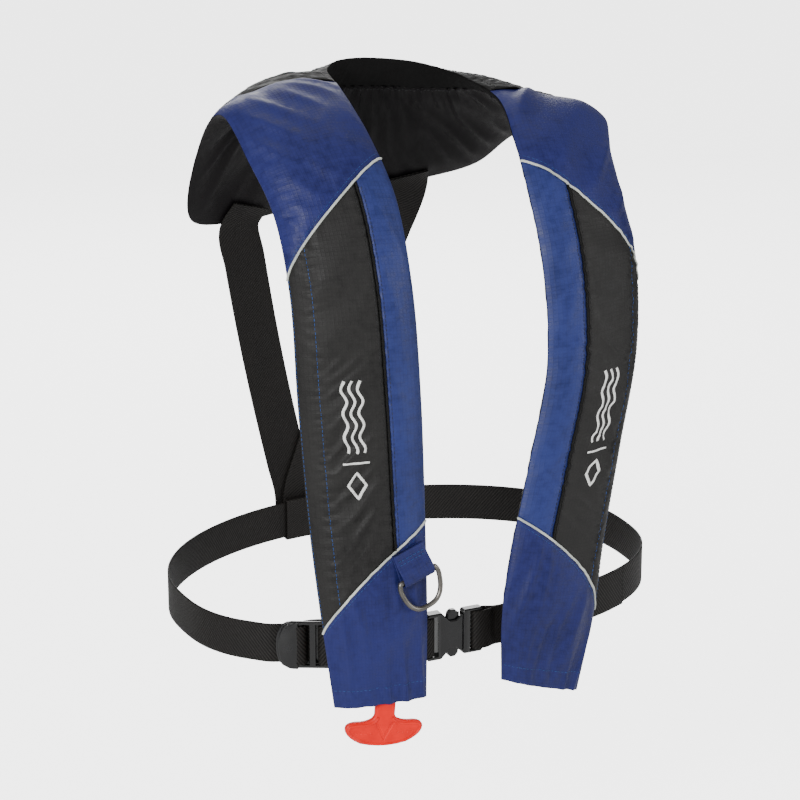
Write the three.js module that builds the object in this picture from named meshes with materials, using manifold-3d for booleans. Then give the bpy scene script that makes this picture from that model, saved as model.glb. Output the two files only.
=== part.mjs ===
// Inflatable life jacket, worn shape, on no body. Millimetres, +Z up, front faces -Y, wearer's left is +X.
// The origin is the middle of the neck opening at shoulder height.
import * as THREE from "three";
import Module from "manifold-3d";

const wasm = await Module();
wasm.setup();
const group = new THREE.Group();
group.name = "inflatable_life_jacket";
const vec = (x, y, z) => new THREE.Vector3(x, y, z);
const clear = 0.3; // rest gap between touching pieces
const rimClear = 0.25; // half the gap where front and back skins meet

// ---------- driving sizes ----------
const lobeScale = 1; // width of the two front lobes against the widths in the station lists
const lobeHalfThick = 17;
const yokeHalfThick = 11;
const hemHalfThick = 7;
const coverThick = 1.6;
const sectionPower = 2.5; // squareness of the lobe section
const seamAcross = 0.38; // centre seam, as a share of the half width from the middle
const hemToLowPipingOuter = 74;
const hemToLowPipingInner = 170;
const ridgeToHighPipingOuter = 190;
const ridgeToHighPipingInner = { R: 90, L: 68 };
const pipingHalf = 1.7;
const pipingRise = 1.3;
const bladderThick = 4;

const webbingWidth = 38;
const webbingThick = 2;
const beltHeight = -495;
const beltHalfWidth = 238;
const beltBackDepth = 182;
const hemDepth = 181; // how far forward the lobes hang at the belt
const beltCentreX = 5;
const keeperX = { R: -114, L: 70.6 }; // middle of each keeper on the front of the belt
const frontAngle = (x) => 360 - THREE.MathUtils.radToDeg(Math.acos((x - beltCentreX) / beltHalfWidth));
const beltGap = webbingWidth * 0.105; // from the fullest part of a lobe's back to the belt
const beltFrontDepth = (hemDepth - beltGap - lobeHalfThick) // the belt runs behind the lobes
  / Math.pow(-Math.sin(THREE.MathUtils.degToRad(frontAngle(keeperX.L))), 0.7);
const backStrapWidth = 44;
const backAngle = 98; // where the back straps meet the belt, degrees
const strapLift = 5;
const tabLean = 17; // degrees the ring's tab leans, so that its top follows the lower piping
const handleRoll = 0.078; // how far the handle hangs off the upright, as a slope
const keeperSlack = 1.3; // what a keeper leaves for the curve of the lobe's back

const adjusterAngle = 227; // place on the belt, degrees from the wearer's left through the back
const hardwareRim = 4; // plastic above and below the webbing in the adjuster and buckle
const adjusterHeight = webbingWidth + 2 * hardwareRim;
const adjusterThick = 4;
const buckleX = -20;
const buckleHeight = webbingWidth + 2 * hardwareRim;
const buckleThick = 11;

const ringWire = 4.6;
const ringWidth = 46;
const tabWidth = 33;
const ringDrop = 36;
const handleWidth = 74;
const handleDrop = 45;
const handleThick = 7;
const cylinderRadius = 10.5;
const cylinderLength = 104;
const tubeRadius = 6;
const tubeLength = 150;

// ---------- solids ----------
const colours = {
  blue: [0x26399a, 0.62, 0], black: [0x232325, 0.7, 0], webbing: [0x161514, 0.8, 0],
  lining: [0x1b1918, 0.5, 0], piping: [0xc9cbc6, 0.4, 0], plastic: [0x0d0d0e, 0.3, 0],
  steel: [0x77746c, 0.35, 1], red: [0xee3b2c, 0.35, 0], bladder: [0xe0c21c, 0.5, 0],
  green: [0x2f9c46, 0.4, 0], clear: [0xd7dadd, 0.3, 0],
};

function addMesh(name, geometry, colour) {
  const [hex, roughness, metalness] = colours[colour];
  const material = new THREE.MeshStandardMaterial({ color: hex, roughness, metalness });
  material.name = colour;
  const mesh = new THREE.Mesh(geometry, material);
  mesh.name = name;
  group.add(mesh);
  return mesh;
}

function signedVolume(points, faces) {
  let sum = 0;
  for (const [a, b, c] of faces)
    sum += points[a].dot(new THREE.Vector3().crossVectors(points[b], points[c]));
  return sum;
}

function meshFrom(points, faces) {
  const turned = signedVolume(points, faces) < 0 ? faces.map(([a, b, c]) => [a, c, b]) : faces;
  const geometry = new THREE.BufferGeometry();
  geometry.setAttribute("position",
    new THREE.Float32BufferAttribute(points.flatMap((p) => [p.x, p.y, p.z]), 3));
  geometry.setIndex(turned.flat());
  geometry.computeVertexNormals();
  return geometry;
}

// A closed skin between two grids of points: top(p, q) and under(p, q), both p and q from 0 to 1.
function skin(top, under, alongSteps, acrossSteps) {
  const points = [];
  const faces = [];
  const wide = acrossSteps + 1;
  const size = (alongSteps + 1) * wide;
  for (const layer of [top, under])
    for (let i = 0; i <= alongSteps; i++)
      for (let j = 0; j <= acrossSteps; j++)
        points.push(layer(i / alongSteps, j / acrossSteps));
  const quad = (a, b, c, d) => faces.push([a, b, c], [a, c, d]);
  for (let i = 0; i < alongSteps; i++)
    for (let j = 0; j < acrossSteps; j++) {
      const a = i * wide + j;
      quad(a, a + 1, a + wide + 1, a + wide);
      quad(size + a, size + a + wide, size + a + wide + 1, size + a + 1);
    }
  for (let i = 0; i < alongSteps; i++) {
    const a = i * wide;
    const b = a + acrossSteps;
    quad(a, a + wide, size + a + wide, size + a);
    quad(b, size + b, size + b + wide, b + wide);
  }
  for (let j = 0; j < acrossSteps; j++) {
    const b = alongSteps * wide + j;
    quad(j, size + j, size + j + 1, j + 1);
    quad(b, b + 1, size + b + 1, size + b);
  }
  return meshFrom(points, faces);
}

// A closed loft through rings of points; `closed` joins the last ring to the first.
function loft(rings, closed = false) {
  const points = rings.flat();
  const faces = [];
  const n = rings[0].length;
  const last = closed ? rings.length : rings.length - 1;
  for (let i = 0; i < last; i++)
    for (let j = 0; j < n; j++) {
      const a = i * n + j;
      const b = i * n + ((j + 1) % n);
      const c = ((i + 1) % rings.length) * n + j;
      const d = ((i + 1) % rings.length) * n + ((j + 1) % n);
      faces.push([a, b, d], [a, d, c]);
    }
  if (!closed)
    for (let j = 1; j < n - 1; j++) {
      const e = (rings.length - 1) * n;
      faces.push([0, j + 1, j], [e, e + j, e + j + 1]);
    }
  return meshFrom(points, faces);
}

// A flat strap along a line of points; `wideWay` gives the direction of its width at each point.
function strap(line, wideWay, width, thick) {
  const rings = line.map((p, i) => {
    const before = line[Math.max(i - 1, 0)];
    const after = line[Math.min(i + 1, line.length - 1)];
    const inWay = p.clone().sub(before).normalize();
    const outWay = after.clone().sub(p).normalize();
    if (i === 0) inWay.copy(outWay);
    if (i === line.length - 1) outWay.copy(inWay);
    const way = inWay.clone().add(outWay).normalize();
    const wide = (typeof wideWay === "function" ? wideWay(i) : wideWay).clone();
    wide.addScaledVector(way, -wide.dot(way)).normalize();
    const flat = new THREE.Vector3().crossVectors(way, wide).normalize();
    const mitre = 1 / Math.max(0.6, Math.sqrt((1 + inWay.dot(outWay)) / 2));
    const corner = (a, b) => p.clone().addScaledVector(wide, (a * width) / 2)
      .addScaledVector(flat, (b * thick * mitre) / 2);
    return [corner(1, 1), corner(1, -1), corner(-1, -1), corner(-1, 1)];
  });
  return loft(rings);
}

// A round bar along a curve.
function rod(curve, radius, steps, sides = 10, closed = false) {
  const frames = curve.computeFrenetFrames(steps, closed);
  const rings = [];
  for (let i = 0; i < steps + (closed ? 0 : 1); i++) {
    const p = curve.getPointAt(i / steps);
    const ring = [];
    for (let j = 0; j < sides; j++) {
      const angle = (j / sides) * Math.PI * 2;
      ring.push(p.clone().addScaledVector(frames.normals[i], radius * Math.cos(angle))
        .addScaledVector(frames.binormals[i], radius * Math.sin(angle)));
    }
    rings.push(ring);
  }
  return loft(rings, closed);
}

function solid(geometry) {
  const plain = geometry.index ? geometry.toNonIndexed() : geometry;
  const raw = plain.getAttribute("position").array;
  const seen = new Map();
  const vertices = [];
  const triangles = [];
  for (let i = 0; i < raw.length; i += 3) {
    const key = [raw[i], raw[i + 1], raw[i + 2]].map((x) => Math.round(x * 2000)).join();
    if (!seen.has(key)) {
      seen.set(key, vertices.length / 3);
      vertices.push(raw[i], raw[i + 1], raw[i + 2]);
    }
    triangles.push(seen.get(key));
  }
  return new wasm.Manifold(new wasm.Mesh({
    numProp: 3, vertProperties: new Float32Array(vertices), triVerts: new Uint32Array(triangles),
  }));
}

function geometryOf(made) {
  const mesh = made.getMesh();
  const geometry = new THREE.BufferGeometry();
  geometry.setAttribute("position", new THREE.BufferAttribute(new Float32Array(mesh.vertProperties), 3));
  geometry.setIndex(new THREE.BufferAttribute(new Uint32Array(mesh.triVerts), 1));
  geometry.computeVertexNormals();
  return geometry;
}

const join = (...parts) => geometryOf(parts.map(solid).reduce((a, b) => a.add(b)));
const cut = (body, ...tools) =>
  geometryOf(tools.map(solid).reduce((a, b) => a.subtract(b), solid(body)));

// A block between two corners.
function block(x0, x1, y0, y1, z0, z1) {
  return new THREE.BoxGeometry(x1 - x0, y1 - y0, z1 - z0)
    .translate((x0 + x1) / 2, (y0 + y1) / 2, (z0 + z1) / 2);
}

// A plate drawn in x and z, centred on y = 0.
function plate(shape, thick, bevel = 0, curveSteps = 6) {
  const geometry = new THREE.ExtrudeGeometry(shape, {
    depth: thick - 2 * bevel, bevelEnabled: bevel > 0, bevelSize: bevel, bevelOffset: -bevel,
    bevelThickness: bevel, bevelSegments: 1, curveSegments: curveSteps,
  });
  return geometry.translate(0, 0, -(thick - 2 * bevel) / 2).rotateX(Math.PI / 2);
}

function roundedShape(x0, x1, z0, z1, r) {
  const s = new THREE.Shape();
  s.moveTo(x0 + r, z0).lineTo(x1 - r, z0).quadraticCurveTo(x1, z0, x1, z0 + r);
  s.lineTo(x1, z1 - r).quadraticCurveTo(x1, z1, x1 - r, z1);
  s.lineTo(x0 + r, z1).quadraticCurveTo(x0, z1, x0, z1 - r);
  s.lineTo(x0, z0 + r).quadraticCurveTo(x0, z0, x0 + r, z0);
  return s;
}

// A turned piece: profile of [radius, height] from the foot to the top, closed on its axis.
function turned(profile, sides = 20) {
  const closedProfile = [[0, profile[0][1]], ...profile, [0, profile.at(-1)[1]]];
  return new THREE.LatheGeometry(closedProfile.map(([r, h]) => new THREE.Vector2(r, h)), sides)
    .rotateX(Math.PI / 2);
}

// ---------- the horseshoe: one long padded band, wearer's right hem, over the neck, left hem ----------
// Front stations: middle x, y, z; half width; yaw of the face; slope of the outer edge, degrees.
const rightStations = [
  [-104, -hemDepth, -542, 44, 8, 0], [-110, -hemDepth, -453, 50, 8, 0], [-112, -170, -363, 54, 10, 0],
  [-114, -160, -259, 56, 12, 0], [-116, -147, -159, 55, 14, 0], [-118, -117, -90, 55, 13, 6],
  [-124, -78, -48, 56, 8, 9], [-127, -20, -14, 58, 0, 8],
];
const leftStations = [
  [60, -hemDepth, -556, 47, 8, 20], [68, -hemDepth, -487, 54, 8, 12], [80, -174, -425, 55, 10, 6],
  [102, -165, -337, 55, 12, 2], [124, -154, -249, 56, 14, 0], [130, -135, -166, 57, 14, 0],
  [130, -104, -105, 57, 12, 8], [133, -73, -68, 57, 8, 12], [140, -36, -40, 57, 0, 13],
];
// Neck stations: outer edge, middle, inner edge.
const neckStations = [
  [[-178, 55, -62], [-122, 40, -12], [-64, 12, -3]],
  [[-165, 116, -152], [-110, 86, -52], [-55, 42, -1]],
  [[-112, 126, -160], [-74, 106, -60], [-36, 64, 1]],
  [[-50, 138, -156], [-30, 116, -66], [-10, 76, 0]],
  [[20, 144, -150], [20, 120, -68], [18, 78, -3]],
  [[86, 136, -140], [66, 110, -66], [44, 66, -6]],
  [[134, 112, -124], [103, 82, -56], [62, 42, -10]],
  [[156, 60, -84], [124, 32, -36], [74, 8, -15]],
];
function frontStation([x, y, z, half, yaw, slope], side) {
  const a = THREE.MathUtils.degToRad(yaw);
  const b = THREE.MathUtils.degToRad(slope);
  const reach = vec(side * Math.cos(a) * Math.cos(b), Math.sin(a), -Math.sin(b))
    .multiplyScalar(half * lobeScale);
  const middle = vec(x, y, z);
  return [middle.clone().add(reach), middle, middle.clone().sub(reach)];
}
const stations = [
  ...rightStations.map((s) => frontStation(s, -1)),
  ...neckStations.map((row) => row.map((p) => vec(...p))),
  ...leftStations.map((s) => frontStation(s, 1)).reverse(),
];
const [outerEdge, middleLine, innerEdge] = [0, 1, 2].map((k) => {
  const curve = new THREE.CatmullRomCurve3(stations.map((s) => s[k]), false, "centripetal");
  curve.arcLengthDivisions = 600;
  return curve;
});
const fullLength = middleLine.getLength();
const lengthAtStation = (i) => {
  const lengths = middleLine.getLengths();
  return lengths[Math.round((i / (stations.length - 1)) * (lengths.length - 1))];
};
const rightRidge = lengthAtStation(rightStations.length - 1);
const leftRidge = lengthAtStation(stations.length - leftStations.length);
const smooth = (x) => THREE.MathUtils.smoothstep(x, 0, 1);

function halfThick(length) {
  const fromHem = Math.min(length, fullLength - length);
  const intoYoke = Math.min(length - rightRidge, leftRidge - length) / 90;
  const lobe = hemHalfThick + (lobeHalfThick - hemHalfThick) * smooth(fromHem / 110);
  return lobe + (yokeHalfThick - lobe) * smooth(intoYoke);
}

// Point of the mid sheet: `across` runs from -1 at the outer edge to 1 at the inner edge.
function sheetPoint(t, across) {
  const o = outerEdge.getPoint(t);
  const m = middleLine.getPoint(t);
  const n = innerEdge.getPoint(t);
  return o.multiplyScalar((across * across - across) / 2)
    .addScaledVector(m, 1 - across * across).addScaledVector(n, (across * across + across) / 2);
}

// Point of the padded band: face 1 is the outside, -1 the side on the body; inset goes inwards.
function bandPoint(length, across, face, inset) {
  const t = middleLine.getUtoTmapping(0, Math.min(Math.max(length, 0), fullLength));
  const half = outerEdge.getPoint(t).distanceTo(innerEdge.getPoint(t)) / 2;
  const a = across * (1 - inset / half);
  const here = sheetPoint(t, a);
  const acrossWay = sheetPoint(t, a + 0.01).sub(sheetPoint(t, a - 0.01));
  const lowT = Math.max(t - 0.002, 0);
  const alongWay = sheetPoint(Math.min(lowT + 0.004, 1), a).sub(sheetPoint(lowT, a));
  const out = acrossWay.cross(alongWay).normalize();
  const bulge = Math.pow(Math.max(0, 1 - Math.pow(Math.abs(across), sectionPower)), 1 / sectionPower);
  const lift = (halfThick(length) - inset) * bulge + rimClear;
  return here.addScaledVector(out, face * lift);
}

// Spreads a share 0..1 over a range of `across` values, closer together near the rounded edges.
function spread(q, from, to) {
  const angle = (a) => Math.acos(-Math.sign(a) * Math.pow(Math.abs(a), sectionPower / 2));
  const c = -Math.cos(angle(from) + (angle(to) - angle(from)) * q);
  return Math.sign(c) * Math.pow(Math.abs(c), 2 / sectionPower);
}

// The places across at which every skin is drawn, so that neighbours share their corners.
const seamHalf = pipingHalf / 54; // the centre piping, as a share of the half width
const seamGap = (pipingHalf + clear) / 54;
const acrossSteps = 10;
const columns = Array.from({ length: acrossSteps + 1 }, (_, i) => spread(i / acrossSteps, -1, 1))
  .filter((a) => Math.abs(a - seamAcross) > 0.07)
  .concat([-seamGap, -seamHalf, 0, seamHalf, seamGap].map((d) => seamAcross + d))
  .sort((a, b) => a - b);

// A skin on the band. `ends(across)` gives its two lengths at that place across.
function bandSkin({ ends, from, to, face, top = 0, under = coverThick, along, wide = 0 }) {
  const places = wide ? Array.from({ length: wide + 1 }, (_, i) => spread(i / wide, from, to))
    : columns.filter((a) => a > from - 1e-6 && a < to + 1e-6);
  const layer = (inset) => (p, q) => {
    const across = places[Math.round(q * (places.length - 1))];
    const [a, b] = ends(across);
    return bandPoint(a + (b - a) * p, across, face, typeof inset === "function" ? inset(p, q) : inset);
  };
  return skin(layer(top), layer(under), along, places.length - 1);
}

const lowPiping = (across) => hemToLowPipingOuter
  + (hemToLowPipingInner - hemToLowPipingOuter) * Math.pow((across + 1) / 2, 0.72);
const highPiping = (across, side) => ridgeToHighPipingOuter
  + (ridgeToHighPipingInner[side] - ridgeToHighPipingOuter) * Math.pow((across + 1) / 2, 0.65);
const ridgeGap = pipingHalf + clear;

for (const side of ["R", "L"]) {
  const ridge = side === "R" ? rightRidge : fullLength - leftRidge;
  const along = (d) => (side === "R" ? d : fullLength - d);
  const ends = (a, b) => (across) => [along(a(across)), along(b(across))];
  const high = (shift) => (across) => ridge - highPiping(across, side) + shift;
  const low = (shift) => (across) => lowPiping(across) + shift;
  const face = 1;
  addMesh("shoulder_panel_" + side, bandSkin({
    ends: ends(high(ridgeGap), () => ridge - clear), from: -1, to: 1, face, along: 13 }), "blue");
  addMesh("outer_panel_" + side, bandSkin({
    ends: ends(low(ridgeGap), high(-ridgeGap)), from: -1, to: seamAcross - seamGap, face,
    along: 20 }), "black");
  addMesh("inner_panel_" + side, bandSkin({
    ends: ends(low(ridgeGap), high(-ridgeGap)), from: seamAcross + seamGap, to: 1, face,
    along: 20 }), "blue");
  addMesh("lower_panel_" + side, bandSkin({
    ends: ends(() => 0, low(-ridgeGap)), from: -1, to: 1, face, along: 8 }), "blue");
  addMesh("lobe_lining_" + side, bandSkin({
    ends: ends(() => 0, () => ridge - clear), from: -1, to: 1, face: -1, along: 28 }), "lining");
  const rise = (p) => -pipingRise * Math.sin(Math.PI * Math.min(Math.max(p, 0.12), 0.88));
  for (const [name, line] of [["high_piping_", high], ["low_piping_", low]])
    addMesh(name + side, bandSkin({
      ends: ends(line(-pipingHalf), line(pipingHalf)), from: -1, to: 1, face,
      top: rise, along: 4 }), "piping");
  addMesh("seam_piping_" + side, bandSkin({
    ends: ends(low(ridgeGap), high(-ridgeGap)), from: seamAcross - seamHalf, to: seamAcross + seamHalf,
    face, top: (p, q) => rise(q), along: 20 }), "black");
  for (const [name, on] of [["closure_hook_", 1], ["closure_loop_", -1]])
    addMesh(name + side, bandSkin({
      ends: ends(() => 130, () => ridge - 130), from: 0.78, to: 0.88, face: on,
      top: coverThick + 0.85, under: coverThick + 1.8, along: 18, wide: 2 }), "black");
}

const yokeEnds = () => [rightRidge + clear, leftRidge - clear];
addMesh("yoke_outer", bandSkin({
  ends: yokeEnds, from: -1, to: 1, face: 1, along: 28, wide: 9 }), "black");
addMesh("yoke_lining", bandSkin({
  ends: yokeEnds, from: -1, to: 0.6 - 0.004, face: -1, along: 28, wide: 6 }), "lining");
addMesh("neck_band", bandSkin({
  ends: yokeEnds, from: 0.6 + 0.004, to: 1, face: -1, along: 28, wide: 4 }), "webbing");
addMesh("bladder", bandSkin({
  ends: () => [90, fullLength - 90], from: -0.76, to: 0.76, face: -1, top: coverThick + 1.2,
  under: coverThick + 1.2 + bladderThick, along: 72 }), "bladder");

// ---------- frames for the hardware ----------
// A local frame: x along, z up, y towards the body; `at` takes x, how far out, and z.
function frameOf(origin, xWay, zWay) {
  const z = zWay.clone().normalize();
  const y = new THREE.Vector3().crossVectors(z, xWay).normalize();
  const x = new THREE.Vector3().crossVectors(y, z).normalize();
  const matrix = new THREE.Matrix4().makeBasis(x, y, z).setPosition(origin);
  return { x, y, z, matrix, at: (a, out, up = 0) => vec(a, -out, up).applyMatrix4(matrix) };
}
const put = (frame, geometry) => geometry.applyMatrix4(frame.matrix);
const up = vec(0, 0, 1);

function beltPoint(degrees, out = 0) {
  const a = THREE.MathUtils.degToRad(degrees);
  const depth = (shift) => Math.sin(a) > 0 ? (beltBackDepth + shift) * Math.sin(a)
    : -(beltFrontDepth + shift) * Math.pow(-Math.sin(a), 0.7);
  return vec(beltCentreX + (beltHalfWidth + out) * Math.cos(a), depth(out), beltHeight);
}
function beltFrame(degrees) {
  const way = beltPoint(degrees + 1).sub(beltPoint(degrees - 1));
  return frameOf(beltPoint(degrees), way, up);
}
// A frame on the band, z towards the shoulder and y towards the body.
function bandFrame(length, across, inset) {
  const step = length < fullLength / 2 ? 4 : -4;
  const here = bandPoint(length, across, 1, inset);
  const zWay = bandPoint(length + step, across, 1, inset).sub(bandPoint(length - step, across, 1, inset));
  const acrossWay = bandPoint(length, across + 0.05, 1, inset)
    .sub(bandPoint(length, across - 0.05, 1, inset));
  return frameOf(here, acrossWay.multiplyScalar(step), zWay);
}

// ---------- belt adjuster ----------
const adjuster = beltFrame(adjusterAngle);
const lipEnd = -27;
const farEnd = 23;
const slots = [[-16, -9], [-3, 4], [9.5, 16.5]];
const slotHalf = webbingWidth / 2 + 1;
const frameShape = new THREE.Shape();
frameShape.moveTo(-12, -adjusterHeight / 2).lineTo(farEnd - 3, -adjusterHeight / 2)
  .quadraticCurveTo(farEnd, -adjusterHeight / 2, farEnd, -adjusterHeight / 2 + 3)
  .lineTo(farEnd, adjusterHeight / 2 - 3)
  .quadraticCurveTo(farEnd, adjusterHeight / 2, farEnd - 3, adjusterHeight / 2)
  .lineTo(-12, adjusterHeight / 2)
  .bezierCurveTo(lipEnd + 4, adjusterHeight / 2, lipEnd, 14, lipEnd, 0)
  .bezierCurveTo(lipEnd, -14, lipEnd + 4, -adjusterHeight / 2, -12, -adjusterHeight / 2);
addMesh("belt_adjuster", put(adjuster, cut(plate(frameShape, adjusterThick, 0.8),
  ...slots.map(([a, b]) => block(a, b, -9, 9, -slotHalf, slotHalf)))), "plastic");

// ---------- side-release buckle ----------
const buckle = frameOf(vec(buckleX, -beltFrontDepth + 1.5, beltHeight), vec(1, 0, 0), up);
const outline = (points) => {
  const shape = new THREE.Shape();
  points.forEach(([x, z], i) => (i ? shape.lineTo(x, z) : shape.moveTo(x, z)));
  return shape;
};
const mirrored = (points) => [...points, ...points.map(([x, z]) => [x, -z]).reverse()];
const halfHigh = buckleHeight / 2;
const barHalf = 3;
const strapCut = (x0, x1) => [
  block(x0, x1, -12, -barHalf, -slotHalf, slotHalf), block(x0, x1, barHalf, 12, -slotHalf, slotHalf)];
addMesh("buckle_female", put(buckle, cut(
  plate(outline(mirrored([[-32, halfHigh - 3], [-29, halfHigh], [-16, halfHigh], [-12, halfHigh - 4],
    [-7, 14], [-1, 14], [4, 18], [6, 18]])), buckleThick, 1),
  block(-26, -19, -12, 12, -slotHalf, slotHalf), ...strapCut(-33, -25.9),
  block(-13, 8, -3.4, 3.4, -17.4, 17.4), block(-11, 8, -3.4, 3.4, -30, 30))), "plastic");
addMesh("buckle_male", put(buckle, cut(join(
  plate(roundedShape(6.5, 27, -halfHigh + 1, halfHigh - 1, 3), 9, 1),
  block(-10, 8, -2.4, 2.4, -4, 4)),
  block(13.5, 20.5, -12, 12, -slotHalf, slotHalf), ...strapCut(20.4, 28))), "plastic");
const prong = [[5.9, 8.5], [-4, 9.5], [-11.5, 9.5], [-11.5, 13], [-9, 16.6], [-8, 21], [-5.5, 23.4],
  [-1, 23.4], [2, 20.5], [3, 15],
  [5.9, 13.5], [6.2, 11]];
addMesh("buckle_prong_upper", put(buckle, plate(outline(prong), 5.6, 0.6)), "plastic");
addMesh("buckle_prong_lower",
  put(buckle, plate(outline(prong.map(([x, z]) => [x, -z]).reverse()), 5.6, 0.6)), "plastic");

// ---------- webbing ----------
const looped = (frame, points) => points.map(([x, out]) => frame.at(x, out));
const barLoop = [[-60, -1.25], [-46, -1.25], [-37, -4.8], [-26.6, -4.8], [-23.6, -3.2], [-23.6, 3.2],
  [-26.6, 4.8], [-37, 4.8], [-46, 1.25], [-58, 1.25]];
const mirroredLoop = barLoop.map(([x, out]) => [-x - 6, out]);
const threaded = [[-34, -3.5], [-15, -3.5], [-12.5, -1.5], [-12.5, 1.5], [-10, 3.5], [-2, 3.5],
  [0.5, 1.5], [0.5, -1.5], [3, -3.5], [8, -3.5]];
const endLoop = [[28, 3.5], [15.5, 3.5], [13, 1.6], [13, -1.6], [15.5, -3.5], [28, -3.5], [36, -1.4]];
const aroundBelt = [];
for (let a = -60; a < 217; a += 8) aroundBelt.push(beltPoint(a, -1.2));
addMesh("belt", strap([...aroundBelt, ...looped(adjuster, threaded)],
  up, webbingWidth, webbingThick), "webbing");
addMesh("front_strap_R", strap([...looped(adjuster, endLoop), beltPoint(243, -1), beltPoint(249, -1),
  ...looped(buckle, barLoop)], up, webbingWidth, webbingThick), "webbing");
addMesh("front_strap_L", strap([...looped(buckle, mirroredLoop).reverse(), beltPoint(292, 1.2),
  beltPoint(300, 1.2), beltPoint(308, 1.2), beltPoint(316, 1.2)], up, webbingWidth, webbingThick), "webbing");

// Straps from the yoke down to the belt, crossing at the small of the back.
const back = beltFrame(backAngle);
const backWide = back.x.clone().negate();
function backStrap(name, station, out, lean) {
  const l = lengthAtStation(station);
  const foot = back.at(-lean, out, 0);
  const start = bandPoint(l, -0.99, -1, -strapLift);
  const edgeWay = bandPoint(l + 20, -0.99, -1, -strapLift).sub(bandPoint(l - 20, -0.99, -1, -strapLift));
  const line = [bandPoint(l, -0.8, -1, -strapLift), start];
  const steps = 8;
  for (let i = 1; i <= steps; i++) line.push(start.clone().lerp(foot.clone().add(vec(0, 0, 28)), i / steps)
    .add(vec(0, 10 * Math.sin((Math.PI * i) / steps), 0)));
  line.push(foot.clone().add(vec(0, 0, -18)));
  const wideAt = (i) => edgeWay.clone().normalize().lerp(backWide, Math.max(0, i - 1) / steps);
  addMesh(name, strap(line, wideAt, backStrapWidth, webbingThick), "webbing");
}
backStrap("back_strap_R", 10, 8.1, -5);
backStrap("back_strap_L", 12.75, 4.4, 4);

// Webbing loops that hold the belt to the lobes and the back straps to the belt.
function keeper(name, frame, inside, outside, length) {
  const half = webbingWidth / 2 + 1.2;
  addMesh(name, put(frame, cut(
    block(-length / 2, length / 2, -outside - 1.6, inside + 1.6, -half - 1.6, half + 1.6),
    block(-length, length, -outside, inside, -half, half))), "webbing");
}
const hemLength = (hem) => Math.abs(beltHeight - hem);
for (const [side, length, inside] of [["R", hemLength(-542), 2.4],
  ["L", fullLength - hemLength(-556), 3.6]]) {
  const frame = beltFrame(frontAngle(keeperX[side]));
  let reach = Infinity;
  const tall = webbingWidth / 2 + 5;
  for (const shift of [-tall, 0, tall]) for (const across of [-0.3, 0, 0.3])
    reach = Math.min(reach, frame.at(0, 0).sub(bandPoint(length + shift, across, -1, 0)).dot(frame.y));
  keeper("belt_keeper_" + side, frame, inside, Math.max(reach - 1.6 - keeperSlack, 1.4), 20);
}
keeper("back_keeper", back, 4, 0.9, 40);

// ---------- ring and its tab ----------
const tabPlace = bandFrame(148, 0.56, -1.2);
const lean = THREE.MathUtils.degToRad(tabLean);
const tabFrame = frameOf(tabPlace.at(0, 0),
  tabPlace.x.clone().multiplyScalar(Math.cos(lean)).addScaledVector(tabPlace.z, Math.sin(lean)),
  tabPlace.z.clone().multiplyScalar(Math.cos(lean)).addScaledVector(tabPlace.x, -Math.sin(lean)));
const tabLine = [[2, 3.8], [-8, 4.6], [-18, 8], [-24.5, 8.6], [-28.4, 6.4], [-28.4, 3], [-24.5, 1],
  [-12, 1], [2, 1]].map(([z, out]) => tabFrame.at(0, out, z));
addMesh("ring_tab", strap(tabLine, tabFrame.x, tabWidth, 1.8), "blue");
const ringHeight = -24.5;
const ringOut = 4.8;
const ringPoints = [];
const half = ringWidth / 2 - ringWire / 2;
for (const x of [-0.9, -0.72, -0.3, 0.3, 0.72, 0.9]) ringPoints.push([half * x, 0]);
for (let a = 0; a <= 180; a += 18) {
  const r = THREE.MathUtils.degToRad(a);
  ringPoints.push([half * Math.pow(Math.abs(Math.cos(r)), 0.7) * Math.sign(Math.cos(r)),
    -5 - (ringDrop - ringWire - 5) * Math.sin(r)]);
}
const ringCurve = new THREE.CatmullRomCurve3(
  ringPoints.map(([x, z]) => tabFrame.at(x, ringOut, ringHeight + z)), true, "centripetal");
addMesh("d_ring", rod(ringCurve, ringWire / 2, 40, 10, true), "steel");

// ---------- pull handle ----------
const handle = frameOf(vec(-99, -hemDepth, -541), vec(1, -0.14, -handleRoll), vec(handleRoll, 0, 1));
const hw = handleWidth / 2;
const handleShape = new THREE.Shape();
handleShape.moveTo(-9.5, 30).lineTo(-9.5, -14).quadraticCurveTo(-10, -20, -22, -21)
  .quadraticCurveTo(-hw, -20, -hw, -27).quadraticCurveTo(-hw, -35, -22, -42)
  .quadraticCurveTo(0, -handleDrop * 2 + 42, 22, -42).quadraticCurveTo(hw, -35, hw, -27)
  .quadraticCurveTo(hw, -20, 22, -21).quadraticCurveTo(10, -20, 9.5, -14).lineTo(9.5, 30).lineTo(-9.5, 30);
const groove = plate(outline([[-9, -22], [0, -40], [9, -22], [6, -22], [0, -34], [-6, -22]]), 2);
addMesh("pull_handle", put(handle, cut(plate(handleShape, handleThick, 1.5, 5),
  groove.translate(0, -handleThick / 2, 0))), "red");

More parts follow.
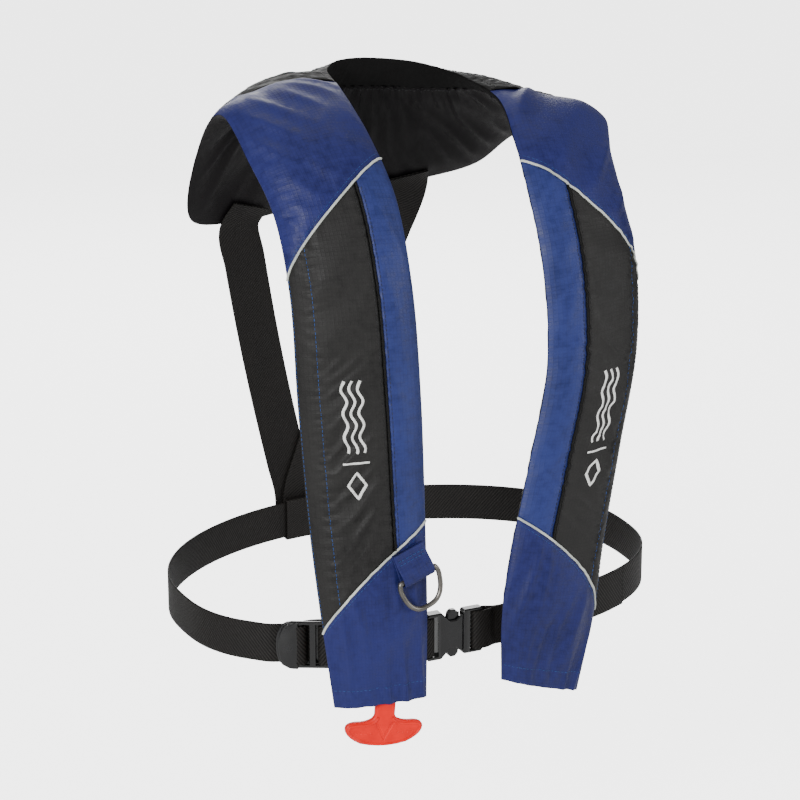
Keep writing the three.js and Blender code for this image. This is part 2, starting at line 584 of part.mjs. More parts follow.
// ---------- inflator, gas cylinder and firing parts, inside the wearer's right lobe ----------
const works = bandFrame(165, 0, halfThick(165));
const worksOut = 2.8;
const turnedZ = (profile, sides) => turned(profile, sides).translate(0, -worksOut, 0);
const bodyHalf = 22;
const bodyDeep = 10.2;
const bodyFoot = -70;
const bodyTop = -30;
const cylinderX = -6;
const neckRadius = 5.2;
const neckFoot = -37.6;
const pinRadius = 2;
const leverX = -27;
const leverZ = -60;
const leverHalf = 2.6;
const capRadius = 9;
const drill = (radius, z0, z1) => turnedZ([[radius, z0], [radius, z1]], 20).translate(cylinderX, 0, 0);
const crossDrill = (radius, long) => new THREE.CylinderGeometry(radius, radius, long, 16)
  .translate(leverX, -worksOut, leverZ);
const cheek = (side) => block(leverX - 4, -bodyHalf + 1, side > 0 ? leverHalf + 0.4 : -leverHalf - 3.4,
  side > 0 ? leverHalf + 3.4 : -leverHalf - 0.4, leverZ - 5, leverZ + 5).translate(0, -worksOut, 0);
const casing = plate(roundedShape(-bodyHalf, bodyHalf, bodyFoot, bodyTop, 4), 2 * bodyDeep, 2, 3)
  .translate(0, -worksOut, 0);
addMesh("inflator_body", put(works, cut(join(casing, cheek(1), cheek(-1)),
  drill(neckRadius + 0.4, -38, -20), drill(pinRadius + 0.5, -52, -37), crossDrill(1.8, 30))), "black");
addMesh("gas_cylinder", put(works, turnedZ([[neckRadius, neckFoot], [neckRadius, -27],
  [cylinderRadius - 2, -22], [cylinderRadius, -16], [cylinderRadius, cylinderLength - 26],
  [cylinderRadius - 3, cylinderLength - 20]], 24).translate(cylinderX, 0, 0)), "steel");
addMesh("piercing_pin", put(works, turnedZ([[pinRadius, -51], [pinRadius, -45.3], [0.4, -41.3]], 12)
  .translate(cylinderX, 0, 0)), "steel");
addMesh("water_sensor_cap", put(works, new THREE.CylinderGeometry(capRadius - 1, capRadius, 15, 24)
  .rotateZ(-Math.PI / 2).translate(bodyHalf + clear + 7.5, -worksOut, -52)), "clear");
const lever = new THREE.Shape();
lever.absarc(leverX, leverZ, 4.4, Math.PI, Math.PI * 2).lineTo(leverX + 2.6, leverZ + 14)
  .absarc(leverX, leverZ + 15, 2.6, 0, Math.PI).lineTo(leverX - 4.4, leverZ);
addMesh("firing_lever", put(works, cut(plate(lever, 2 * leverHalf).translate(0, -worksOut, 0),
  crossDrill(1.8, 30))), "plastic");
addMesh("lever_pin", put(works, crossDrill(1.5, 2 * leverHalf + 6.8)), "steel");
addMesh("status_indicator", put(works, new THREE.CylinderGeometry(4.5, 4.5, 1.2, 20)
  .translate(10, -worksOut - bodyDeep - clear - 0.6, -58)), "green");
const bladderFace = halfThick(165) - coverThick - 1.2 - bladderThick;
addMesh("inflator_flange", put(works, new THREE.CylinderGeometry(13, 13, 1.4, 24)
  .translate(0, bodyDeep - worksOut + clear + 0.7, -50)), "plastic");
const cordLine = [works.at(leverX - 4.3, worksOut, leverZ + 15), works.at(leverX - 7, worksOut, leverZ + 6),
  works.at(leverX - 7.5, worksOut, leverZ - 8), works.at(-20, 1, leverZ - 28),
  handle.at(0, 0, 30 + clear + 0.65)];
addMesh("pull_cord", rod(new THREE.CatmullRomCurve3(cordLine), 1.4, 24, 8), "red");

// ---------- oral tube and whistle, inside the wearer's left lobe ----------
const mouth = bandFrame(fullLength - 200, 0, halfThick(200));
const tubeTop = tubeLength / 2;
const mouthBack = -bladderFace + clear;
addMesh("oral_tube", put(mouth, join(rod(new THREE.CatmullRomCurve3([
  [mouthBack, -tubeTop + 2], [mouthBack + 3, -tubeTop + 2], [-1, -tubeTop + 4], [worksOut, -tubeTop + 14],
  [worksOut, -tubeTop + 30], [worksOut, tubeTop - 10], [worksOut, tubeTop]]
  .map(([out, z]) => vec(0, -out, z))), tubeRadius, 36, 16))), "black");
const atMouth = (profile, sides) => put(mouth, turnedZ(profile, sides));
addMesh("oral_valve", put(mouth, cut(turnedZ([[8, tubeTop + clear], [8, tubeTop + 18]], 24),
  turnedZ([[3.6, tubeTop + 8], [3.6, tubeTop + 20]], 20))), "plastic");
addMesh("valve_poppet", atMouth([[3.1, tubeTop + 12.5], [3.1, tubeTop + 20], [2.4, tubeTop + 21]], 16),
  "red");
addMesh("dust_cap", put(mouth, cut(
  turnedZ([[9.8, tubeTop + 10], [9.8, tubeTop + 26], [8.6, tubeTop + 28]], 24),
  turnedZ([[8.4, tubeTop + 8], [8.4, tubeTop + 24.5]], 24))), "red");
addMesh("whistle", put(mouth, cut(
  plate(roundedShape(17, 32, -52, -10, 4), 10, 1.2, 3).translate(0, -worksOut, 0),
  block(20, 29, -worksOut - 9, -worksOut - 3, -32, -24),
  new THREE.CylinderGeometry(2, 2, 30, 12).translate(24.5, 0, -15))), "red");
addMesh("whistle_cord", put(mouth, rod(new THREE.CatmullRomCurve3([[tubeRadius + 2 * clear, worksOut, 30],
  [14, worksOut + 2, 24], [20, worksOut + 4, 8], [24.5, worksOut + 2, -4], [24.5, worksOut, -9.6]]
  .map(([x, out, z]) => vec(x, -out, z))), 1, 20, 8)), "webbing");

export default group;
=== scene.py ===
# %% [markdown]
# # An inflatable life jacket
# The jacket is one long padded band that hangs over the neck like a horseshoe, a waist belt with
# its adjuster and buckle, two straps down the back, and small hardware on the wearer's right lobe.
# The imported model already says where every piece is. This script gives each piece its fine
# surface, its stitching and its finish, and leaves every size as it was.

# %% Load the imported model
import math

import bmesh
import bpy
import numpy as np
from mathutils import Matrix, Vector


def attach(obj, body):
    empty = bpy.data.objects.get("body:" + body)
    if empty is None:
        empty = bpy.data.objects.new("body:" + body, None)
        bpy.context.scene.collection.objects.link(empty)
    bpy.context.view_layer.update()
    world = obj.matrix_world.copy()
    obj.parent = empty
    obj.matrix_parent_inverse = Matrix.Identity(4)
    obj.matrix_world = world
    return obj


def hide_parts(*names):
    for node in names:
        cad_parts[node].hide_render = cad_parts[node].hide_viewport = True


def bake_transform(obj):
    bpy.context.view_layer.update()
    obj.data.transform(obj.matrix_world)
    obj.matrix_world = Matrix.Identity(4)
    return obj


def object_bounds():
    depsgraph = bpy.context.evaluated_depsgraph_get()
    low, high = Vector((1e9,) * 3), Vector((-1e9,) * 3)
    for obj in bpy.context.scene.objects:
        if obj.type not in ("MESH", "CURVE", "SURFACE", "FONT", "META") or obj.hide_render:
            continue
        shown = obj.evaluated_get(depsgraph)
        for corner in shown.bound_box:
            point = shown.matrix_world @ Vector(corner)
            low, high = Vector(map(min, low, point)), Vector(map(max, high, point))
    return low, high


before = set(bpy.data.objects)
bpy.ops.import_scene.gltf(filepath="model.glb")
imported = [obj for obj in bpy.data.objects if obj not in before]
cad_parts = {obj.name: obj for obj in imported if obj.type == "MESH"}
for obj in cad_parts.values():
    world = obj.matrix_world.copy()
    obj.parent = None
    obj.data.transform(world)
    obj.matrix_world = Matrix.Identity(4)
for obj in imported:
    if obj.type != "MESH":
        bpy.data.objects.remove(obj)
cad_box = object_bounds()
MM = 0.001
print("pieces in the packed model:", len(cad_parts))

# %% [markdown]
# ## Camera, floor and light
# The camera stands a few metres away with a long lens, so the jacket keeps its proportions. A pale
# floor lies well below the jacket, which hangs as if it were worn. Three large soft lights and a
# bright surrounding give even light, because fabric shows its folds best in soft light.

# %% Camera
aim = Vector((0.0, 0.0, -0.320))
turn, climb, distance = math.radians(-25), math.radians(18), 2.6
eye = aim + distance * Vector((math.sin(turn) * math.cos(climb),
                               -math.cos(turn) * math.cos(climb), math.sin(climb)))
camera = bpy.data.objects.new("camera", bpy.data.cameras.new("camera"))
camera.location = eye
camera.rotation_euler = (aim - eye).to_track_quat("-Z", "Y").to_euler()
camera.data.lens = 121.68
camera.data.sensor_width = 36
bpy.context.scene.collection.objects.link(camera)
bpy.context.scene.camera = camera
print("camera at", [round(x, 3) for x in eye])


# %% Lights
def soft_light(name, place, size, power):
    """A square lamp at a place, facing the middle of the jacket."""
    lamp = bpy.data.objects.new(name, bpy.data.lights.new(name, "AREA"))
    lamp.data.size, lamp.data.energy = size, power
    lamp.location = place
    lamp.rotation_euler = (aim - Vector(place)).to_track_quat("-Z", "Y").to_euler()
    bpy.context.scene.collection.objects.link(lamp)


soft_light("key", (-2.3, -2.0, 0.9), 0.8, 118)
soft_light("fill", (2.2, -2.0, 0.3), 1.4, 44)
soft_light("top", (0.3, 0.7, 2.2), 1.4, 16)
soft_light("back", (0.9, 2.6, 0.8), 1.6, 46)
world = bpy.data.worlds.new("studio")
world.use_nodes = True
world.node_tree.nodes["Background"].inputs["Color"].default_value = (1, 1, 1, 1)
world.node_tree.nodes["Background"].inputs["Strength"].default_value = 0.5
bpy.context.scene.world = world

# %% [markdown]
# ## Tools for shader nodes
# Every finish is made of nodes. `wire` adds one node and connects its inputs, so a finish reads as
# a list of steps. An effect that several finishes use, such as a weave, is a node group.


# %% Node helpers
def wire(tree, kind, inputs=(), out=0, **settings):
    """Adds a node, sets its options, fills its inputs in order, and returns one of its outputs."""
    node = tree.nodes.new(kind)
    for key, value in settings.items():
        setattr(node, key, value)
    pairs = inputs.items() if isinstance(inputs, dict) else enumerate(inputs)
    for key, value in pairs:
        if isinstance(value, bpy.types.NodeSocket):
            tree.links.new(value, node.inputs[key])
        elif value is not None:
            node.inputs[key].default_value = value
    return node.outputs[out]


def calc(tree, operation, *inputs):
    """One Math node."""
    return wire(tree, "ShaderNodeMath", inputs, operation=operation)


def span(tree, value, low, high, to_low=0.0, to_high=1.0):
    """Carries a value smoothly from one range to another."""
    return wire(tree, "ShaderNodeMapRange", [value, low, high, to_low, to_high],
                interpolation_type="SMOOTHSTEP")


def blend_colour(tree, share, first, second):
    """Mixes two colours by a share from 0 to 1."""
    node = tree.nodes.new("ShaderNodeMix")
    node.data_type = "RGBA"
    for socket, value in ((node.inputs[0], share), (node.inputs[6], first), (node.inputs[7], second)):
        if isinstance(value, bpy.types.NodeSocket):
            tree.links.new(value, socket)
        else:
            socket.default_value = (*value, 1)
    return node.outputs[2]


def new_group(name, inputs, outputs):
    """An empty node group with its named inputs (name, kind, value) and outputs (name, kind)."""
    tree = bpy.data.node_groups.new(name, "ShaderNodeTree")
    for label, kind, value in inputs:
        socket = tree.interface.new_socket(label, in_out="INPUT", socket_type="NodeSocket" + kind)
        if value is not None:
            socket.default_value = value
    for label, kind in outputs:
        tree.interface.new_socket(label, in_out="OUTPUT", socket_type="NodeSocket" + kind)
    return tree, tree.nodes.new("NodeGroupInput").outputs, tree.nodes.new("NodeGroupOutput").inputs


def use_group(tree, group, **inputs):
    """Places a node group and returns its outputs."""
    node = tree.nodes.new("ShaderNodeGroup")
    node.node_tree = group
    for key, value in inputs.items():
        if isinstance(value, bpy.types.NodeSocket):
            tree.links.new(value, node.inputs[key])
        else:
            node.inputs[key].default_value = value
    return node.outputs


# %% [markdown]
# ## Weaves
# The covers are ripstop: a thin cloth with a thicker yarn every few millimetres, which makes small
# squares. The belt is a heavy twill with slanting ribs. Both patterns are worked out from the
# cloth's own coordinates, in metres, so they keep their real size on every piece.

# %% Ripstop, twill, mottle and grain groups
ripstop, got, give = new_group(
    "ripstop", [("Cloth", "Vector", None), ("Cell", "Float", 0.004)],
    [("Lines", "Float"), ("Shade", "Float"), ("Height", "Float")])
place = wire(ripstop, "ShaderNodeSeparateXYZ", [got["Cloth"]]).node.outputs
lines = []
for axis in (0, 1):
    step = calc(ripstop, "DIVIDE", place[axis], got["Cell"])
    lines.append(span(ripstop, calc(ripstop, "PINGPONG", step, 0.5), 0.0, 0.22, 1.0, 0.0))
grid = calc(ripstop, "MAXIMUM", lines[0], lines[1])
yarn = [calc(ripstop, "SINE", calc(ripstop, "MULTIPLY", place[axis], 9000.0)) for axis in (0, 1)]
fine = calc(ripstop, "MULTIPLY", yarn[0], yarn[1])
shade = wire(ripstop, "ShaderNodeTexNoise", {"Vector": got["Cloth"], "Scale": 140.0, "Detail": 4.0})
ripstop.links.new(grid, give["Lines"])
ripstop.links.new(shade, give["Shade"])
ripstop.links.new(calc(ripstop, "MULTIPLY_ADD", fine, 0.18, grid), give["Height"])

twill, got, give = new_group(
    "twill", [("Cloth", "Vector", None), ("Pitch", "Float", 0.003)],
    [("Rib", "Float"), ("Height", "Float")])
place = wire(twill, "ShaderNodeSeparateXYZ", [got["Cloth"]]).node.outputs
slant = calc(twill, "DIVIDE", calc(twill, "MULTIPLY_ADD", place[1], 0.8, place[0]), got["Pitch"])
rib = span(twill, calc(twill, "PINGPONG", slant, 0.5), 0.0, 0.42)
row = calc(twill, "PINGPONG", calc(twill, "DIVIDE", place[1], 0.0011), 0.5)
cord_row = span(twill, row, 0.0, 0.4)
twill.links.new(rib, give["Rib"])
twill.links.new(calc(twill, "MULTIPLY_ADD", cord_row, 0.45, rib), give["Height"])

mottle, got, give = new_group(
    "mottle", [("Place", "Vector", None), ("Scale", "Float", 12.0)], [("Value", "Float")])
cloud = wire(mottle, "ShaderNodeTexNoise",
             {"Vector": got["Place"], "Scale": got["Scale"], "Detail": 3.0, "Roughness": 0.55})
mottle.links.new(span(mottle, cloud, 0.3, 0.7), give["Value"])

grain, got, give = new_group(
    "grain", [("Place", "Vector", None), ("Scale", "Float", 900.0)],
    [("Height", "Float"), ("Edge highlight", "Float"), ("Haze", "Float")])
fine = wire(grain, "ShaderNodeTexNoise",
            {"Vector": got["Place"], "Scale": got["Scale"], "Detail": 2.0})
haze = wire(grain, "ShaderNodeTexNoise", {"Vector": got["Place"], "Scale": 60.0, "Detail": 5.0})
edge = wire(grain, "ShaderNodeNewGeometry", out="Pointiness")
grain.links.new(fine, give["Height"])
# Paler in patches where the surface is sharply convex: a painted highlight along edges.
grain.links.new(calc(grain, "MULTIPLY", span(grain, edge, 0.52, 0.62), haze), give["Edge highlight"])
grain.links.new(haze, give["Haze"])
print("node groups:", sorted(g.name for g in bpy.data.node_groups))

# %% [markdown]
# ## Finishes
# Cloth has little shine. Moulded plastic is glossier and has a painted highlight along its sharp edges.
# The steel ring is dark with a fine grain. The reflective piping is pale grey with fine beads in it.


# %% Material maker
def material(name, rough, metal=0.0, **sockets):
    """A Principled material, with the values that stay the same all over set on its sockets."""
    made = bpy.data.materials.new(name)
    made.use_nodes = True
    shader = made.node_tree.nodes["Principled BSDF"]
    for key, value in {"Roughness": rough, "Metallic": metal, **sockets}.items():
        shader.inputs[key.replace("_", " ")].default_value = value
    return made, made.node_tree, shader.inputs


def bump(tree, sockets, height, strength, depth):
    """Sends a height to the shader's normal. Depth is the height's size in metres."""
    normal = wire(tree, "ShaderNodeBump",
                  {"Strength": strength, "Distance": depth, "Height": height})
    tree.links.new(normal, sockets["Normal"])


def cloth_coordinates(tree):
    return wire(tree, "ShaderNodeUVMap", uv_map="cloth")


def own_place(tree):
    return wire(tree, "ShaderNodeTexCoord", out="Object")


def ripstop_cloth(name, dark, light, rough, gloss, cell=0.0034, contrast=0.14):
    """Ripstop: the squares' lines are darker, and the cloth varies a little from place to place."""
    made, tree, sockets = material(name, rough, Specular_IOR_Level=gloss)
    weave = use_group(tree, ripstop, Cloth=cloth_coordinates(tree), Cell=cell)
    cloud = use_group(tree, mottle, Place=own_place(tree), Scale=14.0)["Value"]
    tone = calc(tree, "MULTIPLY_ADD", weave["Lines"], -contrast,
                calc(tree, "MULTIPLY_ADD", cloud, 0.35, weave["Shade"]))
    tree.links.new(blend_colour(tree, span(tree, tone, -0.15, 0.95), dark, light),
                   sockets["Base Color"])
    tree.links.new(span(tree, weave["Shade"], 0.3, 0.7, rough - 0.08, rough + 0.08),
                   sockets["Roughness"])
    bump(tree, sockets, weave["Height"], 0.35, 0.00022)
    return made


blue_cloth = ripstop_cloth("blue ripstop", (0.0042, 0.0054, 0.040), (0.0130, 0.0170, 0.100),
                           0.5, 0.2)
# A paler copy of the blue cloth for the inner panels: painted highlight where the light falls on them.
highlit_blue_cloth = ripstop_cloth("blue ripstop with painted highlight", (0.0075, 0.0115, 0.055),
                                (0.0190, 0.0290, 0.130), 0.48, 0.2)
black_cloth = ripstop_cloth("black ripstop", (0.0070, 0.0068, 0.0068), (0.0170, 0.0165, 0.0160),
                            0.55, 0.15)
# A darker copy of the black cloth for the yoke's outside: partly the collar's own darker cloth, partly
# painted shade that offsets the light the top lamp throws on it.
shaded_collar_cloth = ripstop_cloth("black collar cloth with painted shade", (0.0024, 0.0023, 0.0023),
                             (0.0072, 0.0069, 0.0067), 0.62, 0.1)
lining_cloth = ripstop_cloth("satin lining", (0.0012, 0.0009, 0.0012), (0.0034, 0.0027, 0.0032),
                             0.42, 0.12, 0.0009, 0.1)
neck_cloth = ripstop_cloth("soft neck cloth", (0.0015, 0.0015, 0.0015), (0.004, 0.0038, 0.0038),
                           0.8, 0.1, 0.0011, 0.1)
bladder_cloth = ripstop_cloth("coated bladder cloth", (0.52, 0.36, 0.01),
                              (0.80, 0.58, 0.03), 0.4, 0.4, 0.0015, 0.2)
print("cloths ready")


# %% Webbing, piping, thread and print
def webbing_material(name, dark, light, pitch=0.0034):
    """Twill webbing: slanting ribs over rows of cord, paler on the ribs' crowns."""
    made, tree, sockets = material(name, 0.62, Specular_IOR_Level=0.2)
    weave = use_group(tree, twill, Cloth=cloth_coordinates(tree), Pitch=pitch)
    cloud = use_group(tree, mottle, Place=own_place(tree), Scale=30.0)["Value"]
    tone = calc(tree, "MULTIPLY_ADD", cloud, 0.25, weave["Rib"])
    tree.links.new(blend_colour(tree, span(tree, tone, 0.0, 1.2), dark, light),
                   sockets["Base Color"])
    tree.links.new(span(tree, weave["Rib"], 0.0, 1.0, 0.72, 0.5), sockets["Roughness"])
    bump(tree, sockets, weave["Height"], 0.7, 0.0005)
    return made


webbing = webbing_material("black webbing", (0.0012, 0.0010, 0.0009), (0.008, 0.0066, 0.0055))
black_trim = webbing_material("black binding", (0.001, 0.001, 0.001), (0.004, 0.0038, 0.0036),
                              0.0012)

piping_cloth, tree, sockets = material("reflective piping", 0.34)
beads = wire(tree, "ShaderNodeTexVoronoi", {"Vector": own_place(tree), "Scale": 3200.0})
cloud = use_group(tree, mottle, Place=own_place(tree), Scale=40.0)["Value"]
tree.links.new(blend_colour(tree, cloud, (0.34, 0.36, 0.33), (0.50, 0.52, 0.48)),
               sockets["Base Color"])
bump(tree, sockets, beads, 0.4, 0.00012)


def thread_material(name, dark, light):
    """Twisted thread: small dark and pale spots, as its plies catch the light."""
    made, tree, sockets = material(name, 0.5, Specular_IOR_Level=0.3)
    cloud = use_group(tree, mottle, Place=own_place(tree), Scale=900.0)["Value"]
    tree.links.new(blend_colour(tree, cloud, dark, light), sockets["Base Color"])
    bump(tree, sockets, cloud, 0.5, 0.0001)
    return made


blue_thread = thread_material("blue thread", (0.008, 0.03, 0.12), (0.02, 0.07, 0.24))
black_thread = thread_material("black thread", (0.003, 0.003, 0.004), (0.018, 0.018, 0.02))
white_print = thread_material("white print", (0.62, 0.62, 0.60), (0.78, 0.78, 0.76))
red_cord = thread_material("red cord", (0.42, 0.03, 0.01), (0.75, 0.09, 0.04))
print("trims ready")


# %% Plastic and steel
def moulded(name, dark, light, edge_highlight, rough, metal=0.0, scale=900.0, gloss=0.42):
    """Moulded or cast surface: fine grain, a haze that changes the shine, a painted highlight on sharp
    edges.
    """
    made, tree, sockets = material(name, rough, metal, Specular_IOR_Level=0.5 if metal else gloss)
    skin = use_group(tree, grain, Place=own_place(tree), Scale=scale)
    body = blend_colour(tree, span(tree, skin["Haze"], 0.35, 0.65), dark, light)
    # Sharp edges are mixed towards a paler colour: painted edge highlight.
    tree.links.new(blend_colour(tree, skin["Edge highlight"], body, edge_highlight), sockets["Base Color"])
    tree.links.new(span(tree, skin["Haze"], 0.3, 0.7, rough - 0.06, rough + 0.1),
                   sockets["Roughness"])
    bump(tree, sockets, skin["Height"], 0.25, 0.00005)
    return made


black_plastic = moulded("black plastic", (0.002, 0.002, 0.0022), (0.004, 0.004, 0.0045),
                        (0.03, 0.03, 0.03), 0.2)
red_plastic = moulded("red plastic", (0.62, 0.003, 0.0008), (0.72, 0.005, 0.0015),
                      (0.85, 0.04, 0.02), 0.4, gloss=0.22)
green_plastic = moulded("green plastic", (0.02, 0.30, 0.05), (0.03, 0.40, 0.08),
                        (0.2, 0.6, 0.25), 0.35)
pale_plastic = moulded("pale plastic", (0.62, 0.64, 0.66), (0.72, 0.74, 0.76),
                       (0.85, 0.86, 0.87), 0.4)
dark_steel = moulded("dark steel", (0.10, 0.095, 0.085), (0.17, 0.16, 0.145),
                     (0.42, 0.40, 0.37), 0.36, 0.9, 400.0)
bright_steel = moulded("bright steel", (0.42, 0.41, 0.39), (0.52, 0.51, 0.49),
                       (0.7, 0.69, 0.67), 0.3, 1.0, 500.0)
rubber = moulded("black rubber", (0.008, 0.008, 0.008), (0.016, 0.016, 0.016),
                 (0.05, 0.05, 0.05), 0.6, 0.0, 1400.0)
floor_finish = moulded("pale floor", (0.80, 0.80, 0.80), (0.84, 0.84, 0.84),
                       (0.84, 0.84, 0.84), 0.8)
print("finishes:", len(bpy.data.materials))

# %% [markdown]
# ## Tools for surfaces
# A piece is a grid of points worked out all at once with numpy. `build` joins a grid into quads,
# gives it the cloth coordinates that the weaves read, and turns its faces outwards by measuring the
# volume that they enclose.

# %% Grids into meshes
def build(name, points, faces, finish, body="jacket", nodes=(), cloth=None, slot=None):
    """A mesh object from points in millimetres and faces. It rides on a body and stands for nodes."""
    points = np.asarray(points, float).reshape(-1, 3) * MM
    faces = [np.asarray(f, int) for f in (faces if isinstance(faces, list) else [faces])]
    fans = [np.stack([f[:, 0], f[:, i], f[:, i + 1]], 1) for f in faces for i in range(1, f.shape[1] - 1)]
    corners = points[np.concatenate(fans)]
    volume = np.einsum("ij,ij->i", corners[:, 0], np.cross(corners[:, 1], corners[:, 2])).sum()
    if volume < 0:
        faces = [f[:, ::-1] for f in faces]
    mesh = bpy.data.meshes.new(name)
    mesh.from_pydata(points.tolist(), [], [row for f in faces for row in f.tolist()])
    mesh.polygons.foreach_set("use_smooth", np.ones(len(mesh.polygons), bool))
    if cloth is not None:
        at = np.zeros(len(mesh.loops), np.int32)
        mesh.loops.foreach_get("vertex_index", at)
        layer = mesh.uv_layers.new(name="cloth")
        layer.data.foreach_set("uv", (np.asarray(cloth, float).reshape(-1, 2)[at] * MM).ravel())
    mesh.update()
    made = bpy.data.objects.new(name, mesh)
    bpy.context.scene.collection.objects.link(made)
    mesh.materials.append(finish)
    if body:
        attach(made, body)
    if nodes:
        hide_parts(*nodes)
    return made


def grid_faces(rows, columns, start=0, around=False, ring=False):
    """Quads of a grid of rows by columns; `around` joins the last column to the first, `ring` the rows."""
    i = np.arange(rows if ring else rows - 1)[:, None]
    j = np.arange(columns if around else columns - 1)[None, :]
    next_i, next_j = (i + 1) % rows, (j + 1) % columns
    quads = np.stack(np.broadcast_arrays(i * columns + j, next_i * columns + j,
                                         next_i * columns + next_j, i * columns + next_j), -1)
    return start + quads.reshape(-1, 4)


def shell_faces(rows, columns):
    """Quads of a closed skin: an upper grid, an under grid after it, and the rim between them."""
    size = rows * columns
    top = grid_faces(rows, columns)
    under = grid_faces(rows, columns, size)[:, ::-1]
    path = np.concatenate([np.arange(columns - 1), columns * np.arange(1, rows) - 1,
                           size - 1 - np.arange(columns - 1), columns * np.arange(rows - 1, 0, -1)])
    after = np.roll(path, -1)
    rim = np.stack([path, after, after + size, path + size], 1)
    return [top, under, rim]


def unit(v):
    return v / np.maximum(np.linalg.norm(v, axis=-1, keepdims=True), 1e-12)


def sweep(name, line, across_way, section, finish, closed=False, **more):
    """Carries a section (points of [across, out]) along a line. `across_way` points across it; out
    is the line's direction crossed with it. Cloth runs along the line and round the section."""
    line = np.asarray(line, float)
    ahead = np.roll(line, -1, 0) - np.roll(line, 1, 0)
    if not closed:
        ahead[0], ahead[-1] = line[1] - line[0], line[-1] - line[-2]
    ahead = unit(ahead)
    wide = np.broadcast_to(np.asarray(across_way, float), line.shape)
    wide = unit(wide - ahead * np.sum(wide * ahead, 1, keepdims=True))
    out = np.cross(ahead, wide)
    section = np.asarray(section, float)
    points = (line[:, None] + wide[:, None] * section[None, :, :1] + out[:, None] * section[None, :, 1:])
    rows, columns = points.shape[:2]
    faces = [grid_faces(rows, columns, around=True, ring=closed)]
    along = np.concatenate([[0], np.cumsum(np.linalg.norm(np.diff(line, axis=0), axis=1))])
    cloth = np.stack(np.broadcast_arrays(along[:, None], section[None, :, 0]), -1)
    if not closed:
        faces.append(np.arange(columns)[None, ::-1])
        faces.append((rows - 1) * columns + np.arange(columns)[None, :])
    return build(name, points, faces, finish, cloth=cloth, **more)


def flat_section(width, thick, corner=0.9):
    """A flat strap's section: a rectangle whose short sides are rounded."""
    corner = min(corner, thick / 2)
    angles = np.linspace(0, np.pi / 2, 5)
    part = np.stack([corner * np.cos(angles), corner * np.sin(angles)], 1)
    w, t = width / 2 - corner, thick / 2 - corner
    quarter = part + [w, t]
    top = np.stack([np.linspace(w, -w, 9)[1:-1], np.full(7, thick / 2)], 1)
    left = part[::-1] * [-1, 1] + [-w, t]
    upper = np.concatenate([quarter, top, left])
    return np.concatenate([upper, -upper])


def round_section(radius, sides=12):
    angles = np.arange(sides) / sides * 2 * np.pi
    return np.stack([radius * np.cos(angles), radius * np.sin(angles)], 1)


print("surface tools ready")

# %% [markdown]
# ## Curves
# The horseshoe is ruled by three curves: its outer edge, its middle and its inner edge. Each is a
# centripetal Catmull-Rom curve, which passes through every station and doesn't loop between them.


# %% Curve through stations
def through(knots, share, closed=False):
    """Point at a share 0..1 of a centripetal Catmull-Rom curve through the knots. Between two knots
    it is the cubic whose end slopes come from the four nearest knots, spaced by the square root of
    their distances."""
    knots = np.asarray(knots, float)
    if closed:
        extended, spans = np.concatenate([knots[-1:], knots, knots[:2]]), len(knots)
    else:
        extended = np.concatenate([2 * knots[:1] - knots[1:2], knots, 2 * knots[-1:] - knots[-2:-1]])
        spans = len(knots) - 1
    place = np.clip(np.asarray(share, float), 0, 1) * spans
    i = np.minimum(place.astype(int), spans - 1)
    w = (place - i)[..., None]
    p0, p1, p2, p3 = (extended[i + k] for k in range(4))
    d0, d1, d2 = (np.sqrt(np.linalg.norm(b - a, axis=-1, keepdims=True))
                  for a, b in ((p0, p1), (p1, p2), (p2, p3)))
    start = ((p1 - p0) / d0 - (p2 - p0) / (d0 + d1) + (p2 - p1) / d1) * d1
    end = ((p2 - p1) / d1 - (p3 - p1) / (d1 + d2) + (p3 - p2) / d2) * d1
    return (p1 + start * w + (-3 * p1 + 3 * p2 - 2 * start - end) * w ** 2
            + (2 * p1 - 2 * p2 + start + end) * w ** 3)


def even_line(knots, spacing, closed=False):
    """The curve through the knots, cut into equal steps of about `spacing` millimetres. A knot that
    lies on the one before it is left out."""
    knots = np.asarray(knots, float)
    apart = np.linalg.norm(np.diff(knots, axis=0, prepend=knots[:1] + 1), axis=1) > 0.01
    knots = knots[apart]
    fine = through(knots, np.linspace(0, 1, 60 * len(knots)), closed)
    run = np.concatenate([[0], np.cumsum(np.linalg.norm(np.diff(fine, axis=0), axis=1))])
    count = max(3, int(run[-1] / spacing) + 1)
    at = np.linspace(0, run[-1], count + 1)[:-1] if closed else np.linspace(0, run[-1], count)
    return np.stack([np.interp(at, run, fine[:, k]) for k in range(3)], 1)


def smooth(x):
    """0 below 0, 1 above 1, and an S-shaped rise between."""
    x = np.clip(x, 0, 1)
    return x * x * (3 - 2 * x)


# %% [markdown]
# ## The horseshoe
# Stations give the middle of the band, its half width and how its face is turned, from the
# wearer's right hem over the neck to the left hem. The section is a flat superellipse: thick in
# the lobes, where the folded bladder lies, and thin at the hems.

# %% Stations
LOBE_HALF, YOKE_HALF, HEM_HALF, SHOULDER_THICK, COVER = 17, 11, 7, 4.5, 1.6
POWER, RIM = 2.5, 0.25
SEAM, SEAM_HALF = 0.38, 0.02  # place across of the dark piping, and half its gap
OUTER_ROW, RIM_ROW, HEM_ROW = -0.68, -0.985, 17  # two stitch rows' places across, and one above the hem
NECK_SEAM = 0.6
YOKE_SEAM = 150  # the yoke's cross seams, from each ridge
FLAT, LINING_FLAT = 54, 56  # mean half widths, which turn a place across into millimetres
HEM_DEPTH = 181
right_rows = [
    [-104, -HEM_DEPTH, -542, 44, 8, 0], [-110, -HEM_DEPTH, -453, 50, 8, 0],
    [-112, -170, -363, 54, 10, 0], [-114, -160, -259, 56, 12, 0], [-116, -147, -159, 55, 14, 0],
    [-118, -117, -90, 55, 13, 6], [-124, -78, -48, 56, 8, 9], [-127, -20, -14, 58, 0, 8]]
